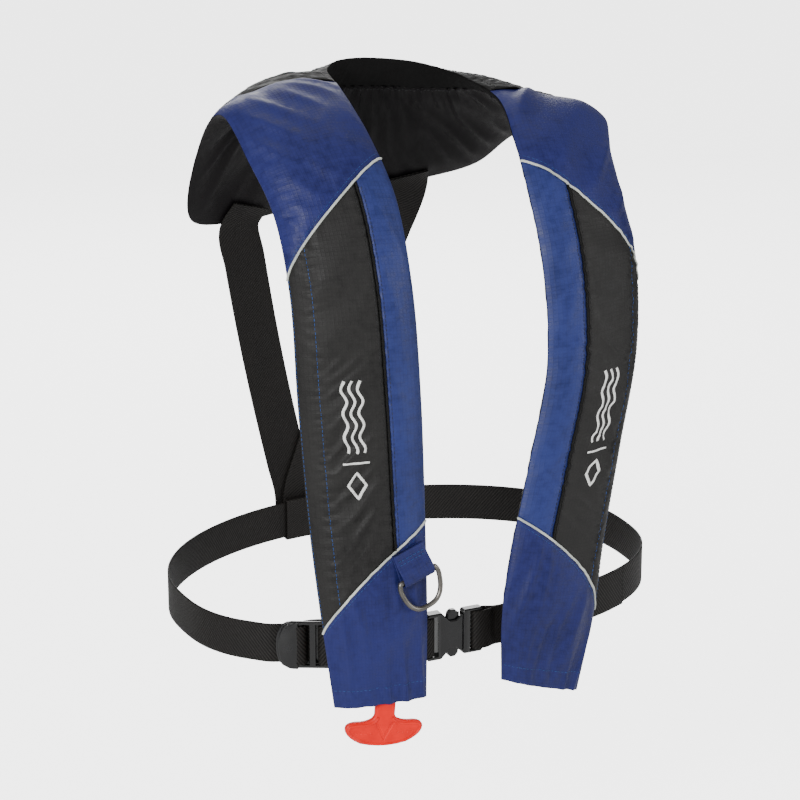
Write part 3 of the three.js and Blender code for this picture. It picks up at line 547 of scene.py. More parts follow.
left_rows = [
    [60, -HEM_DEPTH, -556, 47, 8, 20], [68, -HEM_DEPTH, -487, 54, 8, 12],
    [80, -174, -425, 55, 10, 6], [102, -165, -337, 55, 12, 2], [124, -154, -249, 56, 14, 0],
    [130, -135, -166, 57, 14, 0], [130, -104, -105, 57, 12, 8], [133, -73, -68, 57, 8, 12],
    [140, -36, -40, 57, 0, 13]]
neck_rows = [
    [[-178, 55, -62], [-122, 40, -12], [-64, 12, -3]],
    [[-165, 116, -152], [-110, 86, -52], [-55, 42, -1]],
    [[-112, 126, -160], [-74, 106, -60], [-36, 64, 1]],
    [[-50, 138, -156], [-30, 116, -66], [-10, 76, 0]],
    [[20, 144, -150], [20, 120, -68], [18, 78, -3]],
    [[86, 136, -140], [66, 110, -66], [44, 66, -6]],
    [[134, 112, -124], [103, 82, -56], [62, 42, -10]],
    [[156, 60, -84], [124, 32, -36], [74, 8, -15]]]


def front_stations(rows, side):
    """Outer edge, middle and inner edge: the middle plus or minus the half width, turned by the
    yaw and the slope."""
    x, y, z, half, yaw, slope = np.asarray(rows, float).T
    yaw, slope = np.radians(yaw), np.radians(slope)
    reach = np.stack([side * np.cos(yaw) * np.cos(slope), np.sin(yaw), -np.sin(slope)], 1)
    middle = np.stack([x, y, z], 1)
    return np.stack([middle + reach * half[:, None], middle, middle - reach * half[:, None]], 1)


stations = np.concatenate([front_stations(right_rows, -1), np.asarray(neck_rows, float),
                           front_stations(left_rows, 1)[::-1]])
outer_knots, middle_knots, inner_knots = stations[:, 0], stations[:, 1], stations[:, 2]
SAMPLES = 600
shares = np.linspace(0, 1, SAMPLES + 1)
steps = np.linalg.norm(np.diff(through(middle_knots, shares), axis=0), axis=1)
lengths = np.concatenate([[0], np.cumsum(steps)])
FULL = lengths[-1]


def length_at(station):
    return lengths[int(round(station / (len(stations) - 1) * SAMPLES))]


RIDGE_R = length_at(len(right_rows) - 1)
RIDGE_L = length_at(len(stations) - len(left_rows))
RIDGE = {"R": RIDGE_R, "L": FULL - RIDGE_L}  # each lobe's length from its hem to the ridge
print("band length", round(FULL, 1), "mm, ridges at", round(RIDGE_R, 1), round(RIDGE_L, 1))


# %% The padded band as a surface
def along(side, up):
    """Length along the band of a place `up` above a lobe's hem, and the other way round."""
    return up if side == "R" else FULL - up


def half_thick(length):
    """Half the band's thickness: thin at the hem, full in the lobe, thinner in the yoke."""
    from_hem = np.minimum(length, FULL - length)
    into_yoke = np.minimum(length - RIDGE_R, RIDGE_L - length) / 90
    lobe = HEM_HALF + (LOBE_HALF - HEM_HALF) * smooth(from_hem / 110)
    return lobe + (YOKE_HALF - lobe) * smooth(into_yoke)


def outer_thick(length):
    """Height of the outside over the mid sheet: the cloth lies flat over the shoulder and neck."""
    over_shoulder = np.minimum(length - RIDGE_R + 70, RIDGE_L + 70 - length) / 130
    return half_thick(length) * (1 - smooth(over_shoulder)) + SHOULDER_THICK * smooth(over_shoulder)


def mid_sheet(t, a):
    """The sheet through the three edges: the parabola in `a` that meets all three."""
    o, m, i = (through(k, t) for k in (outer_knots, middle_knots, inner_knots))
    a = a[..., None]
    return o * (a * a - a) / 2 + m * (1 - a * a) + i * (a * a + a) / 2


def band(length, across, face=1, inset=0.0, lift=0.0):
    """Point on the padded band: the mid sheet plus its normal times the superellipse's height.
    face is 1 outside and -1 on the body, inset goes inwards and lift outwards, in millimetres."""
    length, across, inset, lift = np.broadcast_arrays(
        *(np.asarray(v, float) for v in (length, across, inset, lift)))
    t = np.interp(np.clip(length, 0, FULL), lengths, shares)
    half = np.linalg.norm(through(outer_knots, t) - through(inner_knots, t), axis=-1) / 2
    a = across * (1 - inset / half)
    wide = mid_sheet(t, a + 0.01) - mid_sheet(t, a - 0.01)
    low = np.maximum(t - 0.002, 0)
    ahead = mid_sheet(np.minimum(low + 0.004, 1), a) - mid_sheet(low, a)
    out = unit(np.cross(wide, ahead))
    bulge = np.maximum(0, 1 - np.abs(across) ** 3) ** 0.8
    thick = outer_thick(length) if face > 0 else half_thick(length)
    height = (thick - inset) * bulge + RIM + lift * bulge ** 0.5
    return mid_sheet(t, a) + out * (face * height)[..., None]


def spread(q, start, stop):
    """Places across the band, closer together near its rounded edges."""
    angle = [math.acos(-math.copysign(abs(a) ** (POWER / 2), a)) for a in (start, stop)]
    c = -np.cos(angle[0] + (angle[1] - angle[0]) * q)
    return np.sign(c) * np.abs(c) ** (2 / POWER)


def low_piping(a):
    """The lower piping's distance above the hem."""
    return 74 + 96 * np.clip((a + 1) / 2, 0, 1) ** 0.72


def high_piping(a, side):
    """The upper piping's distance below the shoulder ridge."""
    inner = {"R": 90, "L": 68}[side]
    return 190 + (inner - 190) * np.clip((a + 1) / 2, 0, 1) ** 0.65


# %% [markdown]
# ## Folds
# Sewn cloth is never smooth. It sinks at each seam and swells between them, it puckers along rows
# of stitches, and loose cloth creases along slanting lines. Each effect is a height in
# millimetres over the smooth band, made of sine waves with seeded directions and lengths.


# %% Heights of the cloth
def waves(u, v, seed, size, angle, fan):
    """The sum of sine waves that run near one angle with lengths near `size`, over its own spread."""
    random = np.random.default_rng(seed)
    total, count = 0, 10
    for _ in range(count):
        a = angle + fan * random.uniform(-1, 1)
        s = size * random.uniform(0.6, 1.6)
        total = total + np.sin(2 * np.pi * (u * np.cos(a) + v * np.sin(a)) / s
                               + random.uniform(0, 2 * np.pi))
    return total / math.sqrt(count / 2)


def creases(*wave):
    """Sharp crests and round hollows: one minus the size of a wave."""
    return np.clip(1 - np.sqrt(waves(*wave) ** 2 + 0.02), -1, 1)


def near(distance, reach):
    return np.exp(-np.abs(distance) / reach)


def window(x, low, high, soft):
    """1 between low and high, falling smoothly to 0 outside."""
    return smooth((x - low) / soft) * smooth((high - x) / soft)


def front_height(length, a, side):
    """Height of the front cover's cloth over the smooth band."""
    up = along(side, length)
    v = a * FLAT
    low, high = low_piping(a), RIDGE[side] - high_piping(a, side)
    between = smooth((up - low) / 6) * smooth((high - up) / 6)
    seam = (a - SEAM) * FLAT
    stitch = (a - OUTER_ROW) * FLAT
    seed = 1 if side == "R" else 2
    height = -1.1 * near(seam, 4) * between - 0.9 * near(up - low, 4) - 0.9 * near(up - high, 4)
    height = height - 0.6 * near(stitch, 2.2) * between
    height = height + 0.45 * near(seam, 9) * between * waves(up, v, seed, 11, 0, 0.5)
    height = height + 0.75 * near(stitch, 7) * between * waves(up, v, 10 + seed, 9, 0.1, 0.4)
    beside = near(up - low, 9) + near(up - high, 9)
    height = height + 0.45 * beside * waves(up, v, 20 + seed, 12, 1.5, 0.5)
    loose = window(up, 120, 360, 70) * window(a, -0.72, 0.25, 0.4)
    crease = {"R": 2.4, "L": 1.2}[side]
    height = height + crease * loose * creases(up, v, 30 + seed, 24, -0.8, 0.25)
    swell = between * window(a, -0.9, 0.34, 0.3)
    height = height + 0.8 * swell * waves(up, v, 35 + seed, 60, -0.6, 0.6)
    inner = window(a, 0.4, 0.99, 0.12) * window(up, 150, 520, 60)
    height = height + 1.1 * inner * creases(up, v, 40 + seed, 46, 1.0, 0.4)
    foot = smooth((low - up) / 25)
    height = height + 2.2 * foot * creases(up, v, 50 + seed, 40, 1.45, 0.3)
    height = height - 0.8 * near(up - HEM_ROW, 2.5)
    height = height + 0.35 * near(up - HEM_ROW + 5, 9) * waves(up, v, 55 + seed, 8, 1.5, 0.3)
    shoulder = smooth((up - high) / 30)
    height = height + 2.2 * shoulder * creases(up, v, 60 + seed, 64, 1.0, 0.5)
    edge = near(up - high, 60) * window(a, -1.1, -0.55, 0.2)
    return height + 0.9 * edge * waves(up, v, 70 + seed, 10, 0.3, 0.5)


def back_height(length, a):
    """Height of the lining: gathered folds across the yoke, broad soft ones down the lobes."""
    v = a * LINING_FLAT
    yoke = smooth((length - RIDGE_R) / 50) * smooth((RIDGE_L - length) / 50)
    gather = smooth((NECK_SEAM - a) / 0.25) * smooth((a + 1.0) / 0.3)
    fold = 3.4 * yoke * gather * creases(length, v, 81, 46, 0.25, 0.5)
    fine = 1.1 * yoke * near((a - NECK_SEAM) * LINING_FLAT, 16) * waves(length, v, 82, 11, 0.0, 0.2)
    soft = 0.9 * creases(length, v, 83, 44, 0.9, 0.8) + 0.4 * waves(length, v, 84, 14, 0.2, 1)
    lobe = (1 - yoke) * soft
    return np.maximum(fold + fine + lobe, -1.4)


def yoke_height(length, a):
    """Height of the yoke's outside: soft folds, and the seams of its three pieces."""
    v = a * LINING_FLAT
    seams = sum(near(length - at, 3) for at in (RIDGE_R + YOKE_SEAM, RIDGE_L - YOKE_SEAM))
    return (1.0 * creases(length, v, 91, 52, 0.6, 0.9) + 0.4 * waves(length, v, 92, 16, 0.3, 1.2)
            - 0.9 * seams)


def neck_height(length, a):
    """Height of the smooth neck band: nearly flat, with two short seams."""
    seams = sum(near(length - at, 1.6) for at in (RIDGE_R + 205, RIDGE_R + 292))
    return 0.35 * waves(length, a * LINING_FLAT, 95, 60, 0.4, 1.0) - 0.8 * seams


print("heights ready")

# %% [markdown]
# ## Covers and linings
# Each cover panel is a closed skin of its own, 1.6 mm thick, cut along the piping lines as the
# cloth is. The panels of one lobe share one height function, so the cloth runs on across a seam.


# %% Panels
def panel(name, ends, start, stop, face, finish, height, slot, along=2.3, wide=2.0, inset=0.0,
          thick=COVER, nodes=None):
    """A skin of the band between two lengths, which `ends` gives for each place across."""
    columns = max(3, int(abs(stop - start) * 60 / wide))
    a = spread(np.linspace(0, 1, columns), start, stop)
    first, last = (np.asarray(e, float) + 0 * a for e in ends(a))
    rows = max(4, int(np.abs(last - first).max() / along))
    p = np.linspace(0, 1, rows)[:, None]
    length = first + (last - first) * p
    across = np.broadcast_to(a, length.shape)
    lift = height(length, across)
    top = band(length, across, face, inset, lift)
    under = band(length, across, face, inset + thick, lift)
    cloth = np.stack([across * FLAT, length], -1)
    return build(name, np.stack([top, under]), shell_faces(rows, columns), finish,
                 nodes=nodes or (name,), cloth=np.stack([cloth, cloth]), slot=slot)


SEAM_BACK = 22  # the shoulder cloth runs on over the ridge as far as this
EDGE = 1.0  # the panels run up to this far from the middle of the piping cord
RIDGE_GAP = 0.3
for side in "RL":
    ridge = RIDGE[side]

    def run(d, side=side):
        return along(side, d)

    def high(a, shift, ridge=ridge, side=side):
        return ridge - high_piping(a, side) + shift

    def tall(length, a, side=side):
        return front_height(length, a, side)

    panel(f"shoulder_panel_{side}",
          lambda a: (run(high(a, EDGE)), run(ridge + SEAM_BACK - RIDGE_GAP)), -1, 1, 1,
          blue_cloth, tall, "blue")
    panel(f"outer_panel_{side}", lambda a: (run(low_piping(a) + EDGE), run(high(a, -EDGE))),
          -1, SEAM - SEAM_HALF, 1, black_cloth, tall, "black")
    panel(f"inner_panel_{side}", lambda a: (run(low_piping(a) + EDGE), run(high(a, -EDGE))),
          SEAM + SEAM_HALF, 1, 1, highlit_blue_cloth, tall, "blue")
    panel(f"lower_panel_{side}", lambda a: (run(0), run(low_piping(a) - EDGE)), -1, 1, 1,
          blue_cloth, tall, "blue")
    panel(f"lobe_lining_{side}", lambda a: (run(0), run(ridge - RIDGE_GAP)), -1, 1, -1,
          lining_cloth, back_height, "lining", along=3.0, wide=2.6)
    for strip, face in (("closure_hook_", 1), ("closure_loop_", -1)):
        panel(strip + side, lambda a: (run(130), run(ridge - 130)), 0.78, 0.88, face, black_trim,
              lambda length, a: 0.12 * waves(length, a * FLAT, 97, 2.2, 0.4, 3.0), "black",
              along=1.6, wide=1.0, inset=COVER + 0.85, thick=0.95)
panel("yoke_outer", lambda a: (RIDGE_R + SEAM_BACK, RIDGE_L - SEAM_BACK), -1, 1, 1,
      shaded_collar_cloth, yoke_height, "black", along=3.0, wide=2.6)
panel("yoke_lining", lambda a: (RIDGE_R + RIDGE_GAP, RIDGE_L - RIDGE_GAP), -1, NECK_SEAM + 0.008, -1,
      lining_cloth, back_height, "lining", along=2.0, wide=2.2)
panel("neck_band", lambda a: (RIDGE_R + RIDGE_GAP, RIDGE_L - RIDGE_GAP), NECK_SEAM - 0.006, 1, -1,
      neck_cloth, neck_height, "webbing", along=2.6, wide=1.6)
panel("bladder", lambda a: (90, FULL - 90), -0.76, 0.76, -1, bladder_cloth,
      lambda length, a: 0.35 * creases(length, a * FLAT, 98, 30, 1.4, 0.2), "bladder",
      along=5.0, wide=4.0, inset=COVER + 2.4, thick=2.8)
print("panels made")

# %% [markdown]
# ## Piping
# Piping is a cord wrapped in a strip of cloth, sewn into the seam so that half of it stands proud.
# The upper and lower ones are reflective; the long seam down the lobe has a black one.


# %% Piping cords
def piping(name, length, a, side, radius, finish, slot):
    """A round cord whose middle follows a line on the band, half sunk in the cloth."""
    line = band(length, a, 1, 0.0, front_height(length, a, side) + 0.55 * radius)
    above = band(length, a, 1, 0.0, front_height(length, a, side) + 3)
    sweep(name, line, above - line, round_section(radius, 12), finish, nodes=(name,), slot=slot)


for side in "RL":
    ridge = RIDGE[side]
    a = spread(np.linspace(0, 1, 110), -0.9999, 0.9999)
    for name, up in (("high_piping_", ridge - high_piping(a, side)), ("low_piping_", low_piping(a))):
        piping(name + side, along(side, up), a, side, 1.2, piping_cloth, "piping")
    up = np.linspace(low_piping(SEAM) + 1, ridge - high_piping(SEAM, side) - 1, 170)
    piping("seam_piping_" + side, along(side, up), np.full(up.shape, SEAM), side, 1.15, black_trim,
           "black")
print("piping made")

# %% [markdown]
# ## Stitching
# A row of lockstitches is a row of short thread pieces, each sunk at both ends. One small capsule
# of a few dozen faces is placed again and again along a line on the cloth.


# %% Rows of stitches
STITCH, STITCH_GAP = 3.0, 1.0


def stitches(name, line, above, finish, radius=0.34):
    """Capsules along a line. Each has four rings of six points: thin at the ends, full between."""
    run = np.concatenate([[0], np.cumsum(np.linalg.norm(np.diff(line, axis=0), axis=1))])
    count = int(run[-1] / (STITCH + STITCH_GAP))
    centre = (np.arange(count) + 0.5) * run[-1] / count
    at = lambda s, data: np.stack([np.interp(s, run, data[:, k]) for k in range(3)], -1)
    ring = np.array([[-0.5, 0.35], [-0.32, 1.0], [0.32, 1.0], [0.5, 0.35]])
    s = centre[:, None] + ring[None, :, 0] * STITCH
    middle = at(s, line)
    up = unit(at(s, above) - middle)
    ahead = unit(at(s + 0.5, line) - at(s - 0.5, line))
    side = np.cross(ahead, up)
    angle = np.arange(6) * np.pi / 3
    size = radius * ring[None, :, 1, None, None]
    points = middle[:, :, None] + size * (side[:, :, None] * np.cos(angle)[:, None]
                                          + up[:, :, None] * np.sin(angle)[:, None])
    sides = grid_faces(4, 6, around=True)
    caps = np.array([[0, 1, 2, 3, 4, 5], [23, 22, 21, 20, 19, 18]])
    base = 24 * np.arange(count)[:, None, None]
    faces = [(base + sides).reshape(-1, 4), (base + caps).reshape(-1, 6)]
    return build(name, points, faces, finish)


def stitched(name, length, a, height, finish, face=1, proud=0.12, **more):
    """A row of stitches on the band."""
    h = height(length, a)
    stitches(name, band(length, a, face, 0.0, h + proud), band(length, a, face, 0.0, h + 3), finish,
             **more)


for side in "RL":
    ridge = RIDGE[side]
    tall = lambda length, a, side=side: front_height(length, a, side)
    for row, a in (("stitch_outer_", OUTER_ROW), ("stitch_rim_", RIM_ROW)):
        up = np.linspace(low_piping(a) + 3, ridge - high_piping(a, side) - 3, 260)
        stitched(row + side, along(side, up), np.full(up.shape, a), tall, blue_thread)
    for row, gap in (("stitch_seam_", 0.075), ("stitch_seam_inner_", -0.075)):
        up = np.linspace(low_piping(SEAM) + 5, ridge - high_piping(SEAM, side) - 5, 260)
        stitched(row + side, along(side, up), np.full(up.shape, SEAM - gap), tall, black_thread,
                 radius=0.25)
    a = np.linspace(-0.97, 0.97, 120)
    for row, up, radius in (("stitch_hem_", np.full(a.shape, float(HEM_ROW)), 0.3),
                            ("stitch_high_", ridge - high_piping(a, side) + 5, 0.25),
                            ("stitch_low_", low_piping(a) - 5, 0.25)):
        stitched(row + side, along(side, up), a, tall, blue_thread, radius=radius)
length = np.linspace(RIDGE_R + 4, RIDGE_L - 4, 400)
stitched("stitch_neck", length, np.full(length.shape, 0.555), back_height, black_thread, face=-1)
print("stitches made")

# %% [markdown]
# ## Printed mark
# The real covers carry a printed mark on each black panel. A plain one takes its place: three wavy
# lines, a bar and a diamond, as thin white ribbons that follow the cloth.


# %% Wavy lines, bar and diamond
def ribbon(name, up, v, side, width=2.3, closed=False):
    """A flat printed line on the front cover: `up` above the hem and `v` across, in millimetres."""
    path = np.stack([up, v], 1)
    ahead = np.roll(path, -1, 0) - np.roll(path, 1, 0)
    if not closed:
        ahead[0], ahead[-1] = path[1] - path[0], path[-1] - path[-2]
    ahead = unit(ahead)
    beside = np.stack([-ahead[:, 1], ahead[:, 0]], 1)
    layers = []
    for proud in (0.38, -0.1):
        rows = path[:, None] + beside[:, None] * np.linspace(-0.5, 0.5, 3)[None, :, None] * width
        length = along(side, rows[..., 0])
        a = rows[..., 1] / FLAT
        layers.append(band(length, a, 1, 0.0, front_height(length, a, side) + proud))
    n = len(path)
    if not closed:
        return build(name, np.stack(layers), shell_faces(n, 3), white_print)
    top = grid_faces(n, 3, ring=True)
    under = grid_faces(n, 3, 3 * n, ring=True)[:, ::-1]
    i, j = np.arange(n), (np.arange(n) + 1) % n
    rims = [np.stack([3 * i + c, 3 * j + c, 3 * j + c + 3 * n, 3 * i + c + 3 * n], 1)[:, ::step]
            for c, step in ((0, -1), (2, 1))]
    return build(name, np.stack(layers), [top, under] + rims, white_print)


for side, foot in (("R", 196), ("L", 192)):
    up = np.linspace(foot + 46, foot + 112, 90)
    for row, v in enumerate((-17, -10, -3)):
        ribbon(f"mark_wave_{row}_{side}", up, v + 2.0 * np.sin((up - foot) / 66 * 6 * np.pi), side)
    v = np.linspace(-22, 2, 12)
    ribbon("mark_bar_" + side, np.full(v.shape, foot + 37.0), v, side, 1.8)
    corner = np.array([[foot + 28, -10], [foot + 16, -2], [foot + 4, -10], [foot + 16, -18]], float)
    share = np.arange(40) / 10
    at = share.astype(int)
    path = corner[at] + (corner[(at + 1) % 4] - corner[at]) * (share - at)[:, None]
    ribbon("mark_diamond_" + side, path[:, 0], path[:, 1], side, 2.4, True)
print("marks made")

# %% [markdown]
# ## Places for the hardware
# A local frame has x along the piece, z up and y towards the body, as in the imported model. The belt
# is an ellipse round the body, flatter in front, and each piece on it takes its frame from there.

# %% Belt and webbing sizes
BELT_HALF, BELT_BACK, BELT_X, BELT_Z = 238, 182, 5, -495
WEB, WEB_THICK = 38, 2


# %% Frames
class Frame:
    """Origin and three unit directions; at() turns local places into places in the row frame."""

    def __init__(self, origin, x_way, z_way):
        self.o = np.asarray(origin, float)
        self.z = unit(np.asarray(z_way, float))
        self.y = unit(np.cross(self.z, x_way))
        self.x = np.cross(self.y, self.z)

    def at(self, x, out, up=0.0):
        x, out, up = (np.asarray(v, float)[..., None] for v in (x, out, up))
        return self.o + x * self.x - out * self.y + up * self.z


KEEPER_X = {"R": -114, "L": 70.6}
KEEPER_INSIDE = {"R": 2.4, "L": 3.6}  # room for the webbing on the keeper's inner side


def front_angle(x):
    return 360 - math.degrees(math.acos((x - BELT_X) / BELT_HALF))


BELT_GAP = WEB * 0.105
BELT_FRONT = ((HEM_DEPTH - BELT_GAP - LOBE_HALF)
              / (-math.sin(math.radians(front_angle(KEEPER_X["L"])))) ** 0.7)


def belt_point(degrees, out=0.0):
    """Ellipse behind; in front the sine is raised to 0.7, which flattens it."""
    a = np.radians(np.asarray(degrees, float))
    s = np.sin(a)
    y = np.where(s > 0, (BELT_BACK + out) * s, -(BELT_FRONT + out) * np.abs(s) ** 0.7)
    return np.stack([BELT_X + (BELT_HALF + out) * np.cos(a), y, np.full_like(a, BELT_Z)], -1)


def belt_frame(degrees):
    return Frame(belt_point(degrees), belt_point(degrees + 1) - belt_point(degrees - 1), (0, 0, 1))


def band_frame(length, across, inset):
    step = 4 if length < FULL / 2 else -4
    ahead = band(length + step, across, 1, inset) - band(length - step, across, 1, inset)
    wide = (band(length, across + 0.05, 1, inset) - band(length, across - 0.05, 1, inset)) * step
    return Frame(band(length, across, 1, inset), wide, ahead)


adjuster, back = belt_frame(227), belt_frame(98)
buckle = Frame((-20, -BELT_FRONT + 1.5, BELT_Z), (1, 0, 0), (0, 0, 1))
print("adjuster at", adjuster.o.round(2), "buckle at", buckle.o.round(2))

# %% [markdown]
# ## Belt and straps
# Webbing is stiff and flat with rounded edges, so it is a strap section carried along its route
# and not simulated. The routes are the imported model's, with their corners rounded.


# %% Webbing
def local(place, points):
    p = np.asarray(points, float)
    return place.at(p[:, 0], p[:, 1])


def web(name, knots, wide, width=WEB, thick=WEB_THICK, finish=webbing, spacing=2.4, slot="webbing",
        **more):
    """Webbing along a smooth line through the knots. `wide` is one direction, or one per knot."""
    line = even_line(knots, spacing)
    wide = np.asarray(wide, float)
    if wide.ndim == 2:
        run = lambda k: np.concatenate([[0], np.cumsum(np.linalg.norm(np.diff(k, axis=0), axis=1))])
        there, here = run(np.asarray(knots)), run(line)
        scale = there[-1] / here[-1]
        wide = np.stack([np.interp(here * scale, there, wide[:, k]) for k in range(3)], 1)
    return sweep(name, line, wide, flat_section(width, thick), finish, nodes=(name,), slot=slot, **more)


bar_loop = [[-60, -1.25], [-46, -1.25], [-37, -4.8], [-26.6, -4.8], [-23.6, -3.2], [-23.6, 3.2],
            [-26.6, 4.8], [-37, 4.8], [-46, 1.25], [-58, 1.25]]
mirrored_loop = [[-x - 6, out] for x, out in bar_loop][::-1]
threaded = [[-34, -3.5], [-15, -3.5], [-12.5, -1.5], [-12.5, 1.5], [-10, 3.5], [-2, 3.5],
            [0.5, 1.5], [0.5, -1.5], [3, -3.5], [8, -3.5]]
end_loop = [[28, 3.5], [15.5, 3.5], [13, 1.6], [13, -1.6], [15.5, -3.5], [28, -3.5], [36, -1.4]]
UP = (0, 0, 1)
web("belt", np.concatenate([belt_point(np.arange(-60, 217, 8), -1.2), local(adjuster, threaded)]), UP)
web("front_strap_R", np.concatenate([local(adjuster, end_loop), belt_point([243, 249], -1),
                                     local(buckle, bar_loop)]), UP, spacing=1.2)
strap_left = web("front_strap_L", np.concatenate([
    local(buckle, mirrored_loop), belt_point([292, 300, 308, 316], 1.2)]), UP, spacing=1.2, body=None)
print("belt made")


# %% Back straps
BACK_WEB, TUCK = 44, 5  # the back straps' width, and how far they lie under the lining


def back_strap(name, station, out, lean):
    """From under the yoke's outer edge, a slightly bowed line down to the belt."""
    length = length_at(station)
    start = band(length, -0.99, -1, -TUCK)
    edge = band(length + 20, -0.99, -1, -TUCK) - band(length - 20, -0.99, -1, -TUCK)
    foot = back.at(-lean, out)
    share = np.arange(1, 9)[:, None] / 8
    line = start + (foot + [0, 0, 28] - start) * share + np.array([0, 10, 0]) * np.sin(np.pi * share)
    knots = np.concatenate([band(length, -0.8, -1, -TUCK)[None], start[None], line,
                            (foot + [0, 0, -18])[None]])
    turn = np.maximum(0, np.arange(len(knots)) - 1)[:, None] / 8
    wide = unit(edge) + (-back.x - unit(edge)) * turn
    web(name, knots, wide, BACK_WEB, spacing=3.0)


back_strap("back_strap_R", 10, 8.1, -5)
back_strap("back_strap_L", 12.75, 4.4, 4)


# %% Keepers
def keeper(name, place, inside, outside, length):
    """A loop of webbing round the belt: its width runs along the belt."""
    half = WEB / 2 + 1.2 + 0.8
    top, bottom, r = outside + 0.8, -(inside + 0.8), 1.4
    corners = np.array([[top, half], [bottom, half], [bottom, -half], [top, -half]])
    arc = np.linspace(0, np.pi / 2, 5)
    path = []
    for o, z in corners:
        so, sz = np.sign(o - (top + bottom) / 2), np.sign(z)
        angle = arc if (so * sz) > 0 else arc[::-1]
        path.append(np.stack([o - so * r + so * r * np.cos(angle),
                              z - sz * r + sz * r * np.sin(angle)], 1))
    path = np.concatenate(path)
    order = np.argsort(np.arctan2(path[:, 1], path[:, 0] - (top + bottom) / 2))
    path = path[order]
    line = place.at(0 * path[:, 0], path[:, 0], path[:, 1])
    sweep(name, line, place.x, flat_section(length, 1.5, 0.6), webbing, closed=True,
          nodes=(name,), slot="webbing")


for side, hem in (("R", right_rows[0][2]), ("L", left_rows[0][2])):
    length = along(side, BELT_Z - hem)
    place = belt_frame(front_angle(KEEPER_X[side]))
    tall = WEB / 2 + 5
    reach = min(float((place.o - band(length + shift, across, -1)) @ place.y)
                for shift in (-tall, 0, tall) for across in (-0.3, 0, 0.3))
    keeper("belt_keeper_" + side, place, KEEPER_INSIDE[side], max(reach - COVER - 1.3, 1.4), 20)
keeper("back_keeper", back, 4, 0.9, 40)
print("keepers made")

# %% [markdown]
# ## Ring and tab
# A short tab of cover cloth, folded over the ring's straight side and sewn into the lower piping,
# carries a D-shaped ring of dark steel.

# %% Tab and ring
place = band_frame(148, 0.56, -1.2)
TAB_LEAN = 17
lean = math.radians(TAB_LEAN)
tab = Frame(place.o, place.x * math.cos(lean) + place.z * math.sin(lean),
            place.z * math.cos(lean) - place.x * math.sin(lean))
tab_line = [[2, 3.8], [-8, 4.6], [-18, 8], [-24.5, 8.6], [-28.4, 6.4], [-28.4, 3], [-24.5, 1],
            [-12, 1], [2, 1]]
tab_line = np.asarray(tab_line, float)
web("ring_tab", tab.at(0 * tab_line[:, 0], tab_line[:, 1], tab_line[:, 0]), tab.x, 33, 1.7,
    blue_cloth, spacing=0.8, slot="blue")
RING_WIRE, RING_WIDE, RING_DROP = 4.6, 46, 36
BAR_OUT, BAR_DROP = 4.8, 24.5  # where the ring's straight bar lies in the tab's frame
half = RING_WIDE / 2 - RING_WIRE / 2
knots = [[half * x, 0.0] for x in (-0.9, -0.8, -0.72, -0.3, 0.3, 0.72, 0.8, 0.9)]
for degrees in range(0, 181, 18):
    c, s = math.cos(math.radians(degrees)), math.sin(math.radians(degrees))
    knots.append([half * abs(c) ** 0.7 * math.copysign(1, c), -5 - (RING_DROP - RING_WIRE - 5) * s])
knots = np.asarray(knots)
ring_line = even_line(tab.at(knots[:, 0], 0 * knots[:, 0] + BAR_OUT, knots[:, 1] - BAR_DROP), 1.0, True)
sweep("d_ring", ring_line, tab.y, round_section(RING_WIRE / 2, 20), dark_steel, closed=True,
      body="ring", nodes=("d_ring",), slot="steel")
print("ring made")

# %% [markdown]
# ## Moulded pieces
# The buckle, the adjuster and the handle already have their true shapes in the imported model, but
# with sharp corners. A copy of each gets its doubled points merged and every corner rounded with a
# bevel, because real moulded edges always catch a thin line of light.


# %% Rounded copies
def rounded(node, finish, width, body):
    """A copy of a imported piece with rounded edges, which stands for it."""
    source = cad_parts[node]
    mesh = source.data.copy()
    mesh.name = "round_" + node
    work = bmesh.new()
    work.from_mesh(mesh)
    bmesh.ops.remove_doubles(work, verts=work.verts, dist=2e-6)
    bmesh.ops.dissolve_limit(work, angle_limit=math.radians(1.5), verts=work.verts, edges=work.edges)
    work.to_mesh(mesh)
    work.free()
    made = bpy.data.objects.new("round_" + node, mesh)
    bpy.context.scene.collection.objects.link(made)
    mesh.polygons.foreach_set("use_smooth", np.ones(len(mesh.polygons), bool))
    mesh.materials.clear()
    mesh.materials.append(finish)
    bevel = made.modifiers.new("bevel", "BEVEL")
    bevel.width, bevel.segments, bevel.limit_method = width * MM, 3, "ANGLE"
    bevel.angle_limit = math.radians(25)
    bevel.use_clamp_overlap = True
    made.modifiers.new("normals", "WEIGHTED_NORMAL").keep_sharp = True
    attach(made, body)
    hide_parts(node)


rounded("belt_adjuster", black_plastic, 0.7, "jacket")
rounded("buckle_female", black_plastic, 0.8, "jacket")
rounded("buckle_male", black_plastic, 0.7, "male")
rounded("buckle_prong_upper", black_plastic, 0.6, "prong_up")
rounded("buckle_prong_lower", black_plastic, 0.6, "prong_low")
rounded("pull_handle", red_plastic, 0.8, "handle")


def adjuster_plate(name, left, right, tall, out, thick, dome):
    """A rounded plate on the adjuster: a half superellipse at its left end, a little domed."""
    q = np.linspace(-1, 1, 29)[:, None]
    p = np.linspace(0, 1, 19)[None, :]
    up = tall * np.sin(q * np.pi / 2) + 0 * p
    reach = (right - left) * np.abs(np.cos(q * np.pi / 2)) ** 0.6
    x = right - reach * (1 - p)
    crown = dome * (1 - (up / tall) ** 2) * np.sin(np.pi * np.clip(p * 0.9 + 0.08, 0, 1))
    top, under = adjuster.at(x, out + thick + crown, up), adjuster.at(x, out + 0 * crown, up)
    build(name, np.stack([top, under]), shell_faces(*x.shape), black_plastic, slot="plastic")


adjuster_plate("adjuster_cover", -24.5, -6.5, 22.6, 3.0, 1.6, 1.6)
adjuster_plate("adjuster_guard", -21, 23, 22.9, -6.2, 0.9, 0.0)
print("moulded pieces rounded")

